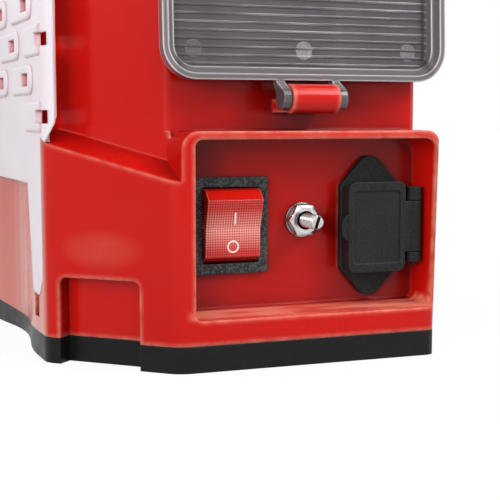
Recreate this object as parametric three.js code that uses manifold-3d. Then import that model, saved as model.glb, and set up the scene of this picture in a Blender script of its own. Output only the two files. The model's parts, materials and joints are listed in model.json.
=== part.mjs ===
// Car battery charger: a red moulded cabinet on a black base tray, with a recessed connection box
// at one end. Millimetres, +Z up. The origin is the middle of the cabinet, on the ground.
// -Y is the end with the connection box, -X is the long side with the white chain-link panel.
import * as THREE from 'three';
import { mergeVertices } from 'three/addons/utils/BufferGeometryUtils.js';
import Module from 'manifold-3d';

const wasm = await Module();
wasm.setup();

// ---------------------------------------------------------------- driving dimensions
const bodyWidth = 125;
const bodyLength = 190;
const housingTop = 176;
const baseHeight = 8.5;
const wall = 2.5;
const seat = 0.3;                 // gap left where one piece rests in or on another

// lower body
const boxTop = 75.5;
const boxProud = 15.5;            // the connection box stands this far out of the upper face
const lowerChamfer = 34.5;        // the two 45 degree flanks of the lower body
const pillarLength = 16;          // straight stretch of side behind each flank
const waistDepth = 5;             // the long side is drawn in between its pillars
const edgeRadius = 4;
const boxCornerRadius = 10;       // upright edge between the connection box and its flank
const pillarRadius = 7;
const sideStep = 0.8;             // the lower body's right side stands out under the upper one
const sideLean = 1.5;             // and leans out further towards its top
const waistDip = 2.3;             // the cabinet's lower edge dips along the waist

// upper body
const upperInset = 1.7;
const upperChamfer = 34;

// shoulder over the flank: it falls outwards and towards the box
const shoulderHigh = 75.5;
const shoulderFall = 12;
const shoulderDrop = 4;
const ledgeDepth = 0.9;           // set-back of the wall between the shoulder and the ledge

// niche at the foot of the front flank
const nicheWidth = 29.5;
const nicheHeight = 28.5;
const nicheDepth = 6;
const nicheOffset = 14;           // from the box corner, along the flank
const nicheRadius = 2.5;

// recess of the connection box
const recessLeft = 5.4;           // width of the left rim
const recessRight = 1.6;          // width of the right rim
const recessTop = 2.6;            // height of the top rim
const recessFloor = 18;           // height of the lower rim over the ground
const recessDepth = 14;
const recessFlare = 2;            // the right wall opens towards the front
const recessLean = 1;
const sillFall = 1.7;             // the lower wall slopes down to the front
const recessCorners = [2.2, 2.5, 5.5, 2.5];   // lower left, lower right, upper right, upper left
const boxRadius = 6.5;
const boxLeftRadius = 5.5;
const rimRound = 1.2;

// rocker switch
const switchWidth = 25.5;
const switchHeight = 31.2;
const switchFromLeft = 16.2;      // middle of the switch from the recess's left wall
const switchAxisHeight = 45;
const bezelThickness = 1.8;
const bezelBorder = 3;
const rockerGap = 0.4;
const rockerTilt = 10;            // degrees either way
const rockerShoulder = 2.6;       // height of the sloped end over the V face
const rockerProud = 3.4;
const switchBodyDepth = 24;

// earth stud
const studOffset = 0.5;           // from halfway between the switch and the inlet
const studHeight = 46.1;
const studDiameter = 5.6;
const studLength = 11.6;          // out of the recess floor
const studInner = 9;
const nutFlats = 11;
const nutThickness = 4.6;
const washerDiameter = 11.4;
const washerThickness = 1;
const slotWidth = 1.2;
const slotDepth = 1.4;

// mains inlet and its lid
const inletFromRight = 17.5;      // middle of the inlet from the recess's right wall
const inletHeight = 43.4;
const flangeHeight = 47;
const flangeWidth = 21.6;
const flangeThickness = 2.4;
const flangeEndHalf = 2.2;        // half the flat at the flange's upper and lower end
const flangeEndRadius = 4.8;
const socketHeight = 27;
const socketWidth = 19.6;
const socketProud = 6.2;          // front of the socket collar over the recess floor
const cavityWidth = 16.5;
const cavityHeight = 21.5;
const socketDepth = 26;           // behind the recess floor
const lidWidth = 20.9;
const lidHeight = 30;
const lidOffset = 0.25;           // to the left of the inlet's middle
const lidThickness = 2.2;
const lidRadius = 2.4;
const lidBorder = 1.75;
const lidEndBorder = 2.9;
const tabWidth = 2.4;
const tabHeight = 9.4;
const knucklePinRadius = 0.9;
const knuckleRadius = 2.8;
const knuckleGap = 1.35;          // between the lid's edge and its knuckle
const knuckleTop = 13.2;          // top of the hinge over the inlet's middle
const knuckleTopLength = 4.8;
const knuckleLidLength = 17;
const knuckleBottomLength = 3.2;
const runningGap = 0.3;

// smoked flap over the connection box
const flapWidth = 99;
const flapHeight = 65.5;
const flapRadius = 10.8;
const flapFlangeDepth = 4;
const flapDepth = 7.5;
const flapWall = 2;
const flapStep = 2.2;
const flapOpenLean = 2.5;         // degrees past upright, open
const flapOffset = -0.75;         // middle of the flap from the recess's middle
const flapAxisToEdge = 6;
const flapAxisHeight = 85.6;
const flapAxisProud = 13.5;       // from the upper face to the hinge axis
const hingeOffset = -0.9;         // middle of the hinge from the flap's middle
const barrelLength = 16.2;
const barrelRadius = 4.7;
const earWidth = 2.7;
const earRadius = 3.6;
const stubRadius = 2;
const stubLength = 3;
const ribPitch = 2.6;
const ribWidth = 0.7;
const ribHeight = 0.25;

// white chain-link side panel
const panelGap = 0.2;
const panelBottom = 57.5;
const panelTop = 168;
const panelWrap = 6;              // how far it turns onto the rear flank, across the width
const panelLip = 4.5;             // its front edge turns onto the lower flank's plane
const panelRadius = 6;
const panelRise = 5.2;            // from the shoulder's top to the panel over it
const gussetHeights = [130, 149]; // ribs that stand off the cabinet's flank
const gussetThickness = 1.6;
const slotAtLeg = [13.6, 20.4, 6.5, 6];       // low, high, from the leg's edge, width
const legStart = 38.5;            // from the box front to the leg's front edge
const legTopWidth = 22;
const legFootWidth = 10;
const legBottom = 21;
const linkLength = 37;
const linkHeight = 9.8;
const linkProud = 0.9;
const linkRound = 4.4;
const linkRowPitch = 12.37;
const linkPitch = 44;
const linkBevel = 0.6;
const linkPhase = -6.2;           // middle link of the lowest row, along the side
const windowFromEnd = 5;
const windowLength = 10.4;
const windowPastCorner = 1.4;
const windowHeight = 4.3;
const patternLow = 75;            // lowest link at the panel's ends, and how it climbs
const patternClimb = 0.42;

// top cover, handle and controls
const coverThickness = 7;
const coverRound = 3;
const handleLength = 118;
const handleHeight = 34;
const handleWidth = 24;
const handleBar = 11;
const handlePost = 15;
const knobRadius = 13;
const knobHeight = 13;
const knobFromEnd = 17.5;
const lensRadius = 2.5;
const handleMiddle = 22;          // along the body
const handleX = 4;

// vents, fan and output gland
const ventCount = 9;
const ventPitch = 11;
const ventWidth = 3.2;
const ventLow = 96;
const ventHigh = 140;
const fanFromFlank = 1.8;
const fanZ = 118;
const fanSize = 60;
const fanThickness = 15;
const fanBore = 28.5;
const fanHub = 12;
const fanTip = 27.6;
const grilleBars = 3;             // slots over and under the middle one
const grillePitch = 7;
const grilleSlot = 3.2;
const glandX = 30;
const glandZ = 40;
const glandRadius = 8;
const glandBore = 4;

// inside
const floorThickness = 2.5;
const tongue = 3;
const postRadius = 4.5;
const postTop = 26;
const screwRadius = 1.8;
const screwHead = 3.6;
const coreWidth = 72;
const coreHeight = 60;
const coreStack = 30;
const coreLeg = 12;
const coreY = -12;
const coreX = 12;
const boardWidth = 84;
const boardLength = 56;
const boardThickness = 1.6;
const boardZ = 10;
const boardFromRight = 10.5;
const boardFromBack = 21;
const sinkPlate = 3.5;
const sinkFin = 21;               // how far each fin stands out of the plate
const sinkFins = 6;
const finPitch = 8;
const finThickness = 1.8;
const sinkHeight = 42;
const sinkFromEdge = 8;           // of the board
const sinkStart = 22;             // from the board's middle
const rectifierThickness = 6;
const rectifierSize = 28;
const rectifierLift = 8;
const capacitorRadius = 9;
const capacitorHeight = 34;
const capacitorPlaces = [[2, 12], [24, 12]];  // from the board's middle
const selectorWidth = 28;
const selectorLength = 24;
const selectorDepth = 13.7;
const knobSpindle = 3;
const lensPitch = 26;

// ---------------------------------------------------------------- derived places
const left = -bodyWidth / 2;
const right = bodyWidth / 2;
const lowerRight = right + sideStep;
const front = -bodyLength / 2;
const back = bodyLength / 2;
const upperFront = front + boxProud;
const upperLeft = left + upperInset;
const boxCorner = left + lowerChamfer;
const recessX0 = boxCorner + recessLeft;
const recessX1 = right - recessRight;
const recessZ1 = boxTop - recessTop;
const floorY = front + recessDepth;
const switchX = recessX0 + switchFromLeft;
const inletX = recessX1 - inletFromRight;
const studX = (switchX + inletX) / 2 + studOffset;
const flapAxisY = upperFront - flapAxisProud;
const flapMiddle = (recessX0 + recessX1) / 2 + flapOffset;
const hingeX = flapMiddle + hingeOffset;
const coverTop = housingTop + coverThickness;
const panelShell = upperInset - panelGap;
const panelFoot = shoulderHigh + panelRise;
const fanX = upperLeft + upperChamfer + fanFromFlank + fanSize / 2;
const boardX = right - boardFromRight - boardWidth / 2;
const boardY = back - boardFromBack - boardLength / 2;
const sinkX = boardX - boardWidth / 2 + sinkFromEdge;
const switchCutWidth = switchWidth - 3.4;
const switchCutHeight = switchHeight - 3.4;
const inletCutWidth = socketWidth + 2 * seat;
const inletCutHeight = socketHeight + 2 * seat;
const collarFront = floorY - socketProud;
const lidBack = collarFront - seat;
const lidFront = lidBack - lidThickness;
const lidX = inletX - lidOffset;
const pinX = lidX + lidWidth / 2 + knuckleGap + knuckleRadius;
const pinY = lidBack - 0.1;
const fanWall = back - wall;
const screwPlaces = [
  [right - 10.5, front + 27], [right - 10.5, back - 11],
  [boxCorner + 11, front + 29], [boxCorner + 6, back - 15],
];

// 45 degree frame of the front flank: along it, up, and into the body
const alongFlank = new THREE.Vector3(-Math.SQRT1_2, Math.SQRT1_2, 0);
const intoFlank = new THREE.Vector3(Math.SQRT1_2, Math.SQRT1_2, 0);
const upwards = new THREE.Vector3(0, 0, 1);
const flankOffset = (upperLeft + upperChamfer - boxCorner + boxProud) * Math.SQRT1_2;

// ---------------------------------------------------------------- helpers
function extruded(shape, depth, segments, bevel) {
  const options = { depth, bevelEnabled: false, curveSegments: segments };
  return new THREE.ExtrudeGeometry(shape, { ...options, ...bevel });
}

// a shape drawn in X and Y, from height z0 to z1
const up = (shape, z0, z1, segments = 6) => extruded(shape, z1 - z0, segments).translate(0, 0, z0);

// a shape drawn in X and Z, from y0 back to y1
const alongY = (shape, y0, y1, segments = 6) => extruded(shape, y1 - y0, segments)
  .rotateX(Math.PI / 2).translate(0, y1, 0);

// a shape drawn in Y and Z, from x0 to x1
const alongX = (shape, x0, x1, segments = 6) => extruded(shape, x1 - x0, segments)
  .rotateX(Math.PI / 2).rotateZ(Math.PI / 2).translate(x0, 0, 0);

// a shape drawn along the flank and up, from depth d0 to d1 behind the flank's face
function onFlank(shape, d0, d1) {
  const place = new THREE.Matrix4().makeBasis(alongFlank, upwards, intoFlank);
  place.setPosition(boxCorner + intoFlank.x * d0, front + intoFlank.y * d0, 0);
  return extruded(shape, d1 - d0, 4).applyMatrix4(place);
}

const block = (x0, x1, y0, y1, z0, z1) => new THREE.BoxGeometry(x1 - x0, y1 - y0, z1 - z0)
  .translate((x0 + x1) / 2, (y0 + y1) / 2, (z0 + z1) / 2);

const rodY = (radius, x, z, y0, y1, segments = 20) => new THREE
  .CylinderGeometry(radius, radius, y1 - y0, segments).translate(x, (y0 + y1) / 2, z);

const rodZ = (radius, x, y, z0, z1, segments = 20) => new THREE
  .CylinderGeometry(radius, radius, z1 - z0, segments).rotateX(Math.PI / 2)
  .translate(x, y, (z0 + z1) / 2);

const rodX = (radius, y, z, x0, x1, segments = 20) => new THREE
  .CylinderGeometry(radius, radius, x1 - x0, segments).rotateZ(Math.PI / 2)
  .translate((x0 + x1) / 2, y, z);

// a geometry with every corner moved by a rule
function moved(geometry, rule) {
  const position = geometry.attributes.position;
  for (let i = 0; i < position.count; i += 1) {
    position.setXYZ(i, ...rule(position.getX(i), position.getY(i), position.getZ(i)));
  }
  return geometry;
}

function solid(geometry) {
  const bare = geometry.clone();
  bare.deleteAttribute('normal');
  bare.deleteAttribute('uv');
  const merged = mergeVertices(bare, 1e-4);
  const vertProperties = new Float32Array(merged.attributes.position.array);
  const triVerts = new Uint32Array(merged.index.array);
  return new wasm.Manifold(new wasm.Mesh({ numProp: 3, vertProperties, triVerts }));
}

const asSolid = (shape) => (shape.isBufferGeometry ? solid(shape) : shape);
const join = (first, ...rest) => rest.reduce((sum, s) => sum.add(asSolid(s)), asSolid(first));
const cut = (first, ...rest) => rest.reduce((sum, s) => sum.subtract(asSolid(s)), asSolid(first));
const common = (first, second) => asSolid(first).intersect(asSolid(second));

function geometryOf(manifold) {
  const mesh = manifold.getMesh();
  const geometry = new THREE.BufferGeometry();
  geometry.setAttribute('position', new THREE.BufferAttribute(mesh.vertProperties, 3));
  geometry.setIndex(new THREE.BufferAttribute(mesh.triVerts, 1));
  const flat = geometry.toNonIndexed();
  flat.computeVertexNormals();
  return flat;
}

// closed outline through corners [x, y, radius], each corner rounded by an arc
function outline(corners) {
  const shape = new THREE.Shape();
  corners.forEach(([x, y, r], i) => {
    const here = new THREE.Vector2(x, y);
    const last = corners[(i + corners.length - 1) % corners.length];
    const next = corners[(i + 1) % corners.length];
    const toLast = new THREE.Vector2(last[0], last[1]).sub(here).normalize();
    const toNext = new THREE.Vector2(next[0], next[1]).sub(here).normalize();
    const half = Math.acos(THREE.MathUtils.clamp(toLast.dot(toNext), -1, 1)) / 2;
    const reach = r / Math.tan(half);
    const start = here.clone().addScaledVector(toLast, reach);
    if (i) shape.lineTo(start.x, start.y);
    else shape.moveTo(start.x, start.y);
    if (!r) return;
    const end = here.clone().addScaledVector(toNext, reach);
    const inwards = toLast.clone().add(toNext).normalize();
    const centre = here.clone().addScaledVector(inwards, r / Math.sin(half));
    const a0 = Math.atan2(start.y - centre.y, start.x - centre.x);
    const a1 = Math.atan2(end.y - centre.y, end.x - centre.x);
    shape.absarc(centre.x, centre.y, r, a0, a1, toLast.cross(toNext) > 0);
  });
  shape.closePath();
  return shape;
}

const rounded = (x0, x1, y0, y1, r) => outline([[x0, y0, r], [x1, y0, r], [x1, y1, r], [x0, y1, r]]);

// ---------------------------------------------------------------- plan outlines
// stations along the waist, from the far end, each with its share of the waist's full depth
const waistSteps = [...Array(15).keys()].map((i) => {
  const t = i / 14;
  const half = bodyLength / 2 - lowerChamfer - pillarLength;
  return [half * (1 - 2 * t), Math.sin(Math.PI * t) ** 2];
});

// lower body from above: square right side, a flank at each end of the left side, and a waist
// drawn in between the two pillars
function lowerPlan(inset = 0) {
  const x0 = left + inset;
  const x1 = lowerRight - inset;
  const y0 = front + inset;
  const y1 = back - inset;
  const chamfer = lowerChamfer - inset * (2 - Math.SQRT2);
  const r = Math.max(edgeRadius - inset, 0.5);
  const waist = waistSteps.map(([y, swell]) => [x0 + waistDepth * swell, y, 0]);
  return outline([
    [x0 + chamfer, y0, boxCornerRadius - inset], [x1, y0, r], [x1, y1, r], [x0 + chamfer, y1, r],
    [x0, y1 - chamfer, pillarRadius - inset], ...waist, [x0, y0 + chamfer, pillarRadius - inset],
  ]);
}

function upperPlan(inset = 0) {
  const x0 = upperLeft + inset;
  const x1 = right - inset;
  const y0 = upperFront + inset;
  const y1 = back - inset;
  const chamfer = upperChamfer - inset * (2 - Math.SQRT2);
  const r = Math.max(edgeRadius - inset, 0.5);
  return outline([
    [x0 + chamfer, y0, r], [x1, y0, r / 2], [x1, y1, r], [x0 + chamfer, y1, r],
    [x0, y1 - chamfer, r], [x0, y0 + chamfer, r],
  ]);
}

// ---------------------------------------------------------------- housing
function nicheProfile(grow) {
  const x0 = nicheOffset - grow;
  const x1 = nicheOffset + nicheWidth + grow;
  const top = nicheHeight + grow;
  return outline([[x0, -1, 0], [x1, -1, 0], [x1, top, nicheRadius], [x0, top, nicheRadius]]);
}

// everything over the sloping shoulder, which rises along the flank and falls outwards
function overShoulder(gap = 0) {
  const size = 120;
  const rise = shoulderFall / (lowerChamfer * Math.SQRT2);
  const lean = shoulderDrop / flankOffset;
  const geometry = moved(new THREE.BoxGeometry(size, size, size), (along, y, z) => {
    const outwards = y + size / 2 - flankOffset;
    const slope = shoulderHigh - shoulderFall + gap + rise * along - lean * (flankOffset + outwards);
    return [along, outwards, z < 0 ? slope : boxTop + size];
  });
  const outOfFlank = intoFlank.clone().negate();
  const place = new THREE.Matrix4().makeBasis(alongFlank, outOfFlank, upwards);
  place.setPosition(boxCorner, front, 0);
  geometry.applyMatrix4(place);
  return cut(geometry, block(left - size, right, 0, back + size, 0, 2 * size));
}

// the two pockets of the side panel's legs, grown by a clearance, with a slot under each leg
function legRegion(grow, depth) {
  const [low, high, fromEdge, width] = slotAtLeg;
  const pockets = [1, -1].flatMap((end) => {
    const y = [end * (front + legStart + fromEdge), end * (front + legStart + fromEdge + width)];
    return [
      alongX(legProfile(grow, end), left - 5, left + depth, 4),
      block(left - 5, left + depth, Math.min(...y) - grow, Math.max(...y) + grow, low - grow, high + 1),
    ];
  });
  return join(...pockets);
}

// a leg of the side panel, drawn in Y and Z; end -1 gives the one at the far end
function legProfile(grow, end = 1) {
  const y = (d) => end * (front + d);
  const top = panelBottom + grow;
  const corners = [
    [y(legStart - grow), top, 0],
    [y(legStart - grow), legBottom + 6, 2],
    [y(legStart + 5 - grow), legBottom - grow, 2],
    [y(legStart + 5 + legFootWidth + grow), legBottom - grow, 2],
    [y(legStart + legTopWidth + grow), top, 0],
  ];
  return outline(end > 0 ? corners : corners.reverse());
}

function hingeWeb() {
  const half = barrelLength / 2;
  const shape = rounded(flapAxisY, upperFront + 1, flapAxisHeight - barrelRadius + 0.4,
    flapAxisHeight, 0);
  return alongX(shape, hingeX - half, hingeX + half);
}

function ventSlots() {
  const slots = [];
  for (let i = 0; i < ventCount; i += 1) {
    const y = (i - (ventCount - 1) / 2) * ventPitch + boxProud / 2;
    const shape = rounded(y - ventWidth / 2, y + ventWidth / 2, ventLow, ventHigh, ventWidth / 2 - 0.1);
    slots.push(alongX(shape, right - wall - 1, right + 1, 2));
  }
  for (let i = -grilleBars; i <= grilleBars; i += 1) {
    const z = fanZ + i * grillePitch;
    const half = Math.sqrt((fanBore - 2) ** 2 - (i * grillePitch) ** 2);
    const shape = rounded(fanX - half, fanX + half, z - grilleSlot / 2, z + grilleSlot / 2,
      grilleSlot / 2 - 0.1);
    slots.push(alongY(shape, back - wall - 1, back + 1, 2));
  }
  return slots;
}

// what the cabinet's side reaches lower along the waist, drawn in Y and Z
function waistDipShape() {
  const low = waistSteps.map(([y, swell]) => [y, baseHeight - waistDip * swell, 0]);
  const end = waistSteps[0][0];
  return outline([...low, [-end, baseHeight + 1, 0], [end, baseHeight + 1, 0]]);
}

// the recess: its right wall opens to the front, and its lower wall slopes down
function recessCutter() {
  const [r0, r1, r2, r3] = recessCorners;
  const shape = outline([[recessX0, recessFloor, r0], [recessX1, recessFloor, r1],
    [recessX1, recessZ1, r2], [recessX0, recessZ1, r3]]);
  return moved(alongY(shape, front - 5, floorY, 5), (x, y, z) => {
    const forward = (floorY - y) / recessDepth;
    const rise = (z - recessFloor) / (recessZ1 - recessFloor) - 0.5;
    const isRight = x > (recessX0 + recessX1) / 2;
    return [isRight ? x + (recessFlare + recessLean * rise) * forward : x, y,
      rise < 0 ? z - sillFall * forward : z];
  });
}

function makeHousing() {
  // lower body, with the connection box standing out in front of the upper face
  const leaning = (x, y, z) => [x > 0 ? x + sideLean * (z - baseHeight) / (boxTop - baseHeight) : x, y, z];
  const lower = solid(moved(up(lowerPlan(), baseHeight, boxTop, 6), leaning));
  const boxLeft = boxCorner + rimRound;
  const boxShape = outline([
    [boxLeft, baseHeight, 0], [lowerRight, baseHeight, 0],
    [lowerRight + sideLean, boxTop, boxRadius], [boxLeft, boxTop, boxLeftRadius],
  ]);
  const box = common(alongY(boxShape, front, upperFront + 1, 5), lower);
  const rest = cut(lower, block(boxLeft + 1, right + 9, front - 9, upperFront, 0, boxTop + 9));
  const ring = cut(up(lowerPlan(), 0, baseHeight + 1, 6), up(lowerPlan(wall), -1, baseHeight + 2, 3));
  const skirt = common(ring, alongX(waistDipShape(), left - 1, left + waistDepth + wall + 1));
  let body = join(box, cut(rest, overShoulder()), skirt);

  // the side panel's seat on the long side, and the pockets of its two legs
  const seatLow = panelBottom - seat;
  const seatStart = legStart - seat;
  body = cut(
    body,
    block(left - 9, upperLeft, front + seatStart, back - seatStart, seatLow, boxTop + 9),
    legRegion(seat, upperInset),
  );
  body = join(body, up(upperPlan(ledgeDepth), seatLow, boxTop, 5), up(upperPlan(), boxTop, housingTop, 5));

  // hollow inside, with a wall left round the recess, the niche and the leg pockets
  const lowerRoom = solid(up(lowerPlan(wall), baseHeight - 1, housingTop + 1, 3));
  const upperRoom = solid(up(upperPlan(wall), baseHeight - 1, housingTop + 1, 3));
  const tall = block(left, lowerRight, front, back, 0, seatLow - wall);
  const high = block(left, lowerRight, front, back, seatLow + wall, housingTop + 2);
  const walls = [
    block(recessX0 - wall, right + 9, front - 1, floorY + wall, recessFloor - sillFall - wall, boxTop + wall),
    onFlank(nicheProfile(wall), -1, nicheDepth + wall),
    legRegion(seat + wall, upperInset + wall),
  ];
  const room = cut(
    join(common(lowerRoom, upperRoom), common(lowerRoom, tall), common(upperRoom, high)),
    ...walls,
  );
  body = cut(body, room);

  // screw posts, then the recess, the niche and the holes in the recess floor
  const through = upperFront + wall + 1;
  const switchZ0 = switchAxisHeight - switchCutHeight / 2;
  const inletZ0 = inletHeight - inletCutHeight / 2;
  body = join(body, ...screwPlaces.map(([x, y]) => screwPost(x, y)));
  body = cut(
    body,
    ...screwPlaces.map(([x, y]) => rodZ(screwRadius + 0.1, x, y, baseHeight - 1, postTop - 3, 12)),
    recessCutter(),
    onFlank(nicheProfile(0), -5, nicheDepth),
    block(switchX - switchCutWidth / 2, switchX + switchCutWidth / 2, floorY - 1, through,
      switchZ0, switchZ0 + switchCutHeight),
    rodY(studDiameter / 2 + seat, studX, studHeight, floorY - 1, through),
    block(inletX - inletCutWidth / 2, inletX + inletCutWidth / 2, floorY - 1, through,
      inletZ0, inletZ0 + inletCutHeight),
    rodY(glandRadius + seat, glandX, glandZ, back - wall - 1, back + 1),
    ...ventSlots(),
  );

  // hinge barrel of the flap, on its web
  const half = barrelLength / 2;
  body = join(body, hingeWeb(), rodX(barrelRadius, flapAxisY, flapAxisHeight, hingeX - half,
    hingeX + half, 24));
  return cut(body, rodX(stubRadius + seat, flapAxisY, flapAxisHeight, hingeX - half - 1,
    hingeX + half + 1, 16));
}

// a post that takes a base screw, tied to the nearest long wall
function screwPost(x, y) {
  const toWall = x > 0 ? block(x, lowerRight - wall / 2, y - 1.5, y + 1.5, baseHeight, postTop)
    : block(x - 1.5, x + 1.5, y, y > 0 ? back - wall / 2 : y, baseHeight, postTop);
  const round = rodZ(postRadius, x, y, baseHeight, postTop, 16);
  return y < 0 && x < 0 ? join(round, frontPostRib(x, y)) : join(round, toWall);
}

const frontPostRib = (x, y) => block(x - 1.5, x + 1.5, front + wall / 2, y, baseHeight, recessFloor - wall);

// ---------------------------------------------------------------- base tray
function makeBase() {
  const bossTop = baseHeight;
  const dip = alongX(waistDipShape(), left - 1, left + waistDepth + 2 * wall);
  const pocket = cut(
    up(lowerPlan(2 * wall), floorThickness, baseHeight + 1, 3),
    onFlank(nicheProfile(wall), -1, nicheDepth + 2 * wall),
    ...screwPlaces.map(([x, y]) => rodZ(postRadius, x, y, 0, bossTop + 2, 16)),
  );
  const body = join(
    cut(up(lowerPlan(), 0, baseHeight, 6), onFlank(nicheProfile(0), -5, nicheDepth), pocket, dip),
    ...boardPosts(),
  );
  return cut(
    body,
    ...screwPlaces.map(([x, y]) => rodZ(screwHead + seat, x, y, -1, floorThickness + 1.5, 16)),
    ...screwPlaces.map(([x, y]) => rodZ(screwRadius + seat, x, y, -1, bossTop + 1, 12)),
  );
}

function boardPosts() {
  const posts = [];
  for (const sx of [-1, 1]) {
    for (const sy of [-1, 1]) {
      const x = boardX + sx * (boardWidth / 2 - 5);
      const y = boardY + sy * (boardLength / 2 - 5);
      posts.push(rodZ(3, x, y, floorThickness - 0.5, boardZ, 12));
    }
  }
  return posts;
}

function baseScrew() {
  const headTop = floorThickness + 1.5 - seat;
  const points = [
    [0, headTop - 2.2], [screwHead, headTop - 2.2], [screwHead, headTop], [screwRadius, headTop],
    [screwRadius, postTop - 6], [0, postTop - 5],
  ].map(([r, z]) => new THREE.Vector2(r, z));
  return new THREE.LatheGeometry(points, 12).rotateX(Math.PI / 2);
}

// ---------------------------------------------------------------- side panel
// plan of the panel: flat on the long side, turned onto the lower flank's plane at the front and
// onto the upper flank at the far end
const panelFront = front + lowerChamfer;
const panelBack = back - upperChamfer + upperInset * (Math.SQRT2 - 1);
const panelBend = panelRadius * Math.tan(Math.PI / 8);
const flatFront = panelFront + panelBend;
const flatBack = panelBack - panelBend;

function panelPlan(inset) {
  const turn = inset * Math.tan(Math.PI / 8);
  const reach = 25;
  const x = left + inset;
  return outline([
    [x, panelBack - turn, panelRadius - inset], [x, panelFront + turn, panelRadius - inset],
    [x + reach, panelFront + turn - reach, 0], [x + reach, panelBack - turn + reach, 0],
  ]);
}

// the panel ends square to the flank at its front lip, and at a wrap's width at the far end
function panelRegion(z0, z1) {
  const lip = panelLip * Math.SQRT1_2;
  const reach = 15;
  const nearHalf = outline([
    [left + lip + reach, panelFront - lip + reach, 0], [left + lip + reach, 0, 0], [left - 1, 0, 0],
    [left - 1, panelFront - lip - 3, 0], [left + lip - 3, panelFront - lip - 3, 0],
  ]);
  return join(up(nearHalf, z0, z1), block(left - 1, upperLeft + panelWrap, 0, back, z0, z1));
}

// a thin moulded shell that stands off the front flank, with a leg down each pillar
function makeSidePanel() {
  const shell = (z0, z1) => common(
    cut(up(panelPlan(0), z0, z1, 5), up(panelPlan(panelShell), z0 - 1, z1 + 1, 5)),
    panelRegion(z0, z1),
  );
  const gusset = (z) => cut(
    common(up(panelPlan(0), z, z + gussetThickness, 5), panelRegion(z, z + gussetThickness)),
    up(upperPlan(-panelGap), z - 1, z + gussetThickness + 1, 5),
  );
  const x1 = left + panelShell;
  const low = join(
    block(left, x1, front + legStart, back - legStart, panelBottom, panelFoot + 1),
    alongX(legProfile(0), left, x1, 4),
    alongX(legProfile(0, -1), left, x1, 4),
  );
  const skirtRegion = block(left - 1, left + panelLip, front, front + legStart + 1, 0, panelFoot + 1);
  const skirtShell = common(shell(shoulderHigh - shoulderFall, panelFoot + 1), skirtRegion);
  const skirt = common(skirtShell, overShoulder(seat));
  const lipFoot = outline([
    [left + 0.6, 0, 0], [left + panelLip, 0, 0], [left + panelLip, panelFoot, 0],
    [left + 0.6, shoulderHigh - shoulderDrop, 0],
  ]);
  const gussets = [...gussetHeights, panelTop - gussetThickness].map(gusset);
  const flat = block(left - 5, upperLeft, flatFront, flatBack, 0, panelTop);
  const body = join(low, shell(panelFoot, panelTop), skirt, ...gussets, common(join(...links()), flat));
  return cut(body, alongY(lipFoot, front, panelFront), ...windows());
}

// rows of staggered links: each row is a row pitch over the last, and every other row is set half
// a link along; the lowest link of each column climbs towards the middle of the panel
function linkPlaces() {
  const places = [];
  const shown = 10;
  for (let row = 0; patternLow + row * linkRowPitch < panelTop - linkHeight; row += 1) {
    const z = patternLow + linkHeight / 2 + row * linkRowPitch;
    const shift = row % 2 ? linkPitch / 2 : 0;
    for (let y = linkPhase + shift - 2 * linkPitch; y <= 2 * linkPitch; y += linkPitch) {
      const inside = y + linkLength / 2 > flatFront + shown && y - linkLength / 2 < flatBack - shown;
      const climb = patternLow + patternClimb * (flatBack - Math.abs(y) - linkLength / 2);
      if (inside && z - linkHeight / 2 > climb - linkRowPitch) places.push([y, z]);
    }
  }
  return places;
}

function links() {
  return linkPlaces().map(([y, z]) => {
    const half = linkLength / 2 - linkBevel;
    const high = linkHeight / 2 - linkBevel;
    const shape = rounded(y - half, y + half, z - high, z + high, linkRound - linkBevel);
    const bevel = { bevelEnabled: true, bevelSize: linkBevel, bevelThickness: linkBevel, bevelSegments: 1 };
    return extruded(shape, linkProud, 2, bevel)
      .rotateX(Math.PI / 2).rotateZ(Math.PI / 2).translate(left - linkProud + linkBevel, 0, 0);
  });
}

// a window near the front end of each link; the foremost ones run into the panel's corner
function windows() {
  return linkPlaces().map(([y, z]) => {
    const start = y - linkLength / 2 + windowFromEnd;
    const y0 = Math.max(start, panelFront - windowPastCorner);
    return block(left - 5, upperLeft + 2, y0, start + windowLength, z - windowHeight / 2, z + windowHeight / 2);
  });
}

// ---------------------------------------------------------------- rocker switch
const openingWidth = switchWidth - 2 * bezelBorder;
const openingHeight = switchHeight - 2 * bezelBorder - 0.4;
const rockerPivotY = floorY - bezelThickness + 1.5;

function makeSwitchFrame() {
  const bezel = new THREE.Shape(rounded(switchX - switchWidth / 2, switchX + switchWidth / 2,
    switchAxisHeight - switchHeight / 2, switchAxisHeight + switchHeight / 2, 0.8).getPoints(2));
  const can = block(switchX - switchCutWidth / 2 + seat, switchX + switchCutWidth / 2 - seat, floorY - 0.5,
    floorY + switchBodyDepth, switchAxisHeight - switchCutHeight / 2 + seat,
    switchAxisHeight + switchCutHeight / 2 - seat);
  const well = block(switchX - openingWidth / 2, switchX + openingWidth / 2, floorY - 5, floorY + 11,
    switchAxisHeight - openingHeight / 2, switchAxisHeight + openingHeight / 2);
  const axleHole = rodX(1.2 + seat, rockerPivotY, switchAxisHeight, switchX - openingWidth / 2 - 0.8,
    switchX + openingWidth / 2 + 0.8, 12);
  return cut(join(alongY(bezel, floorY - bezelThickness, floorY), can), well, axleHole);
}

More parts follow.
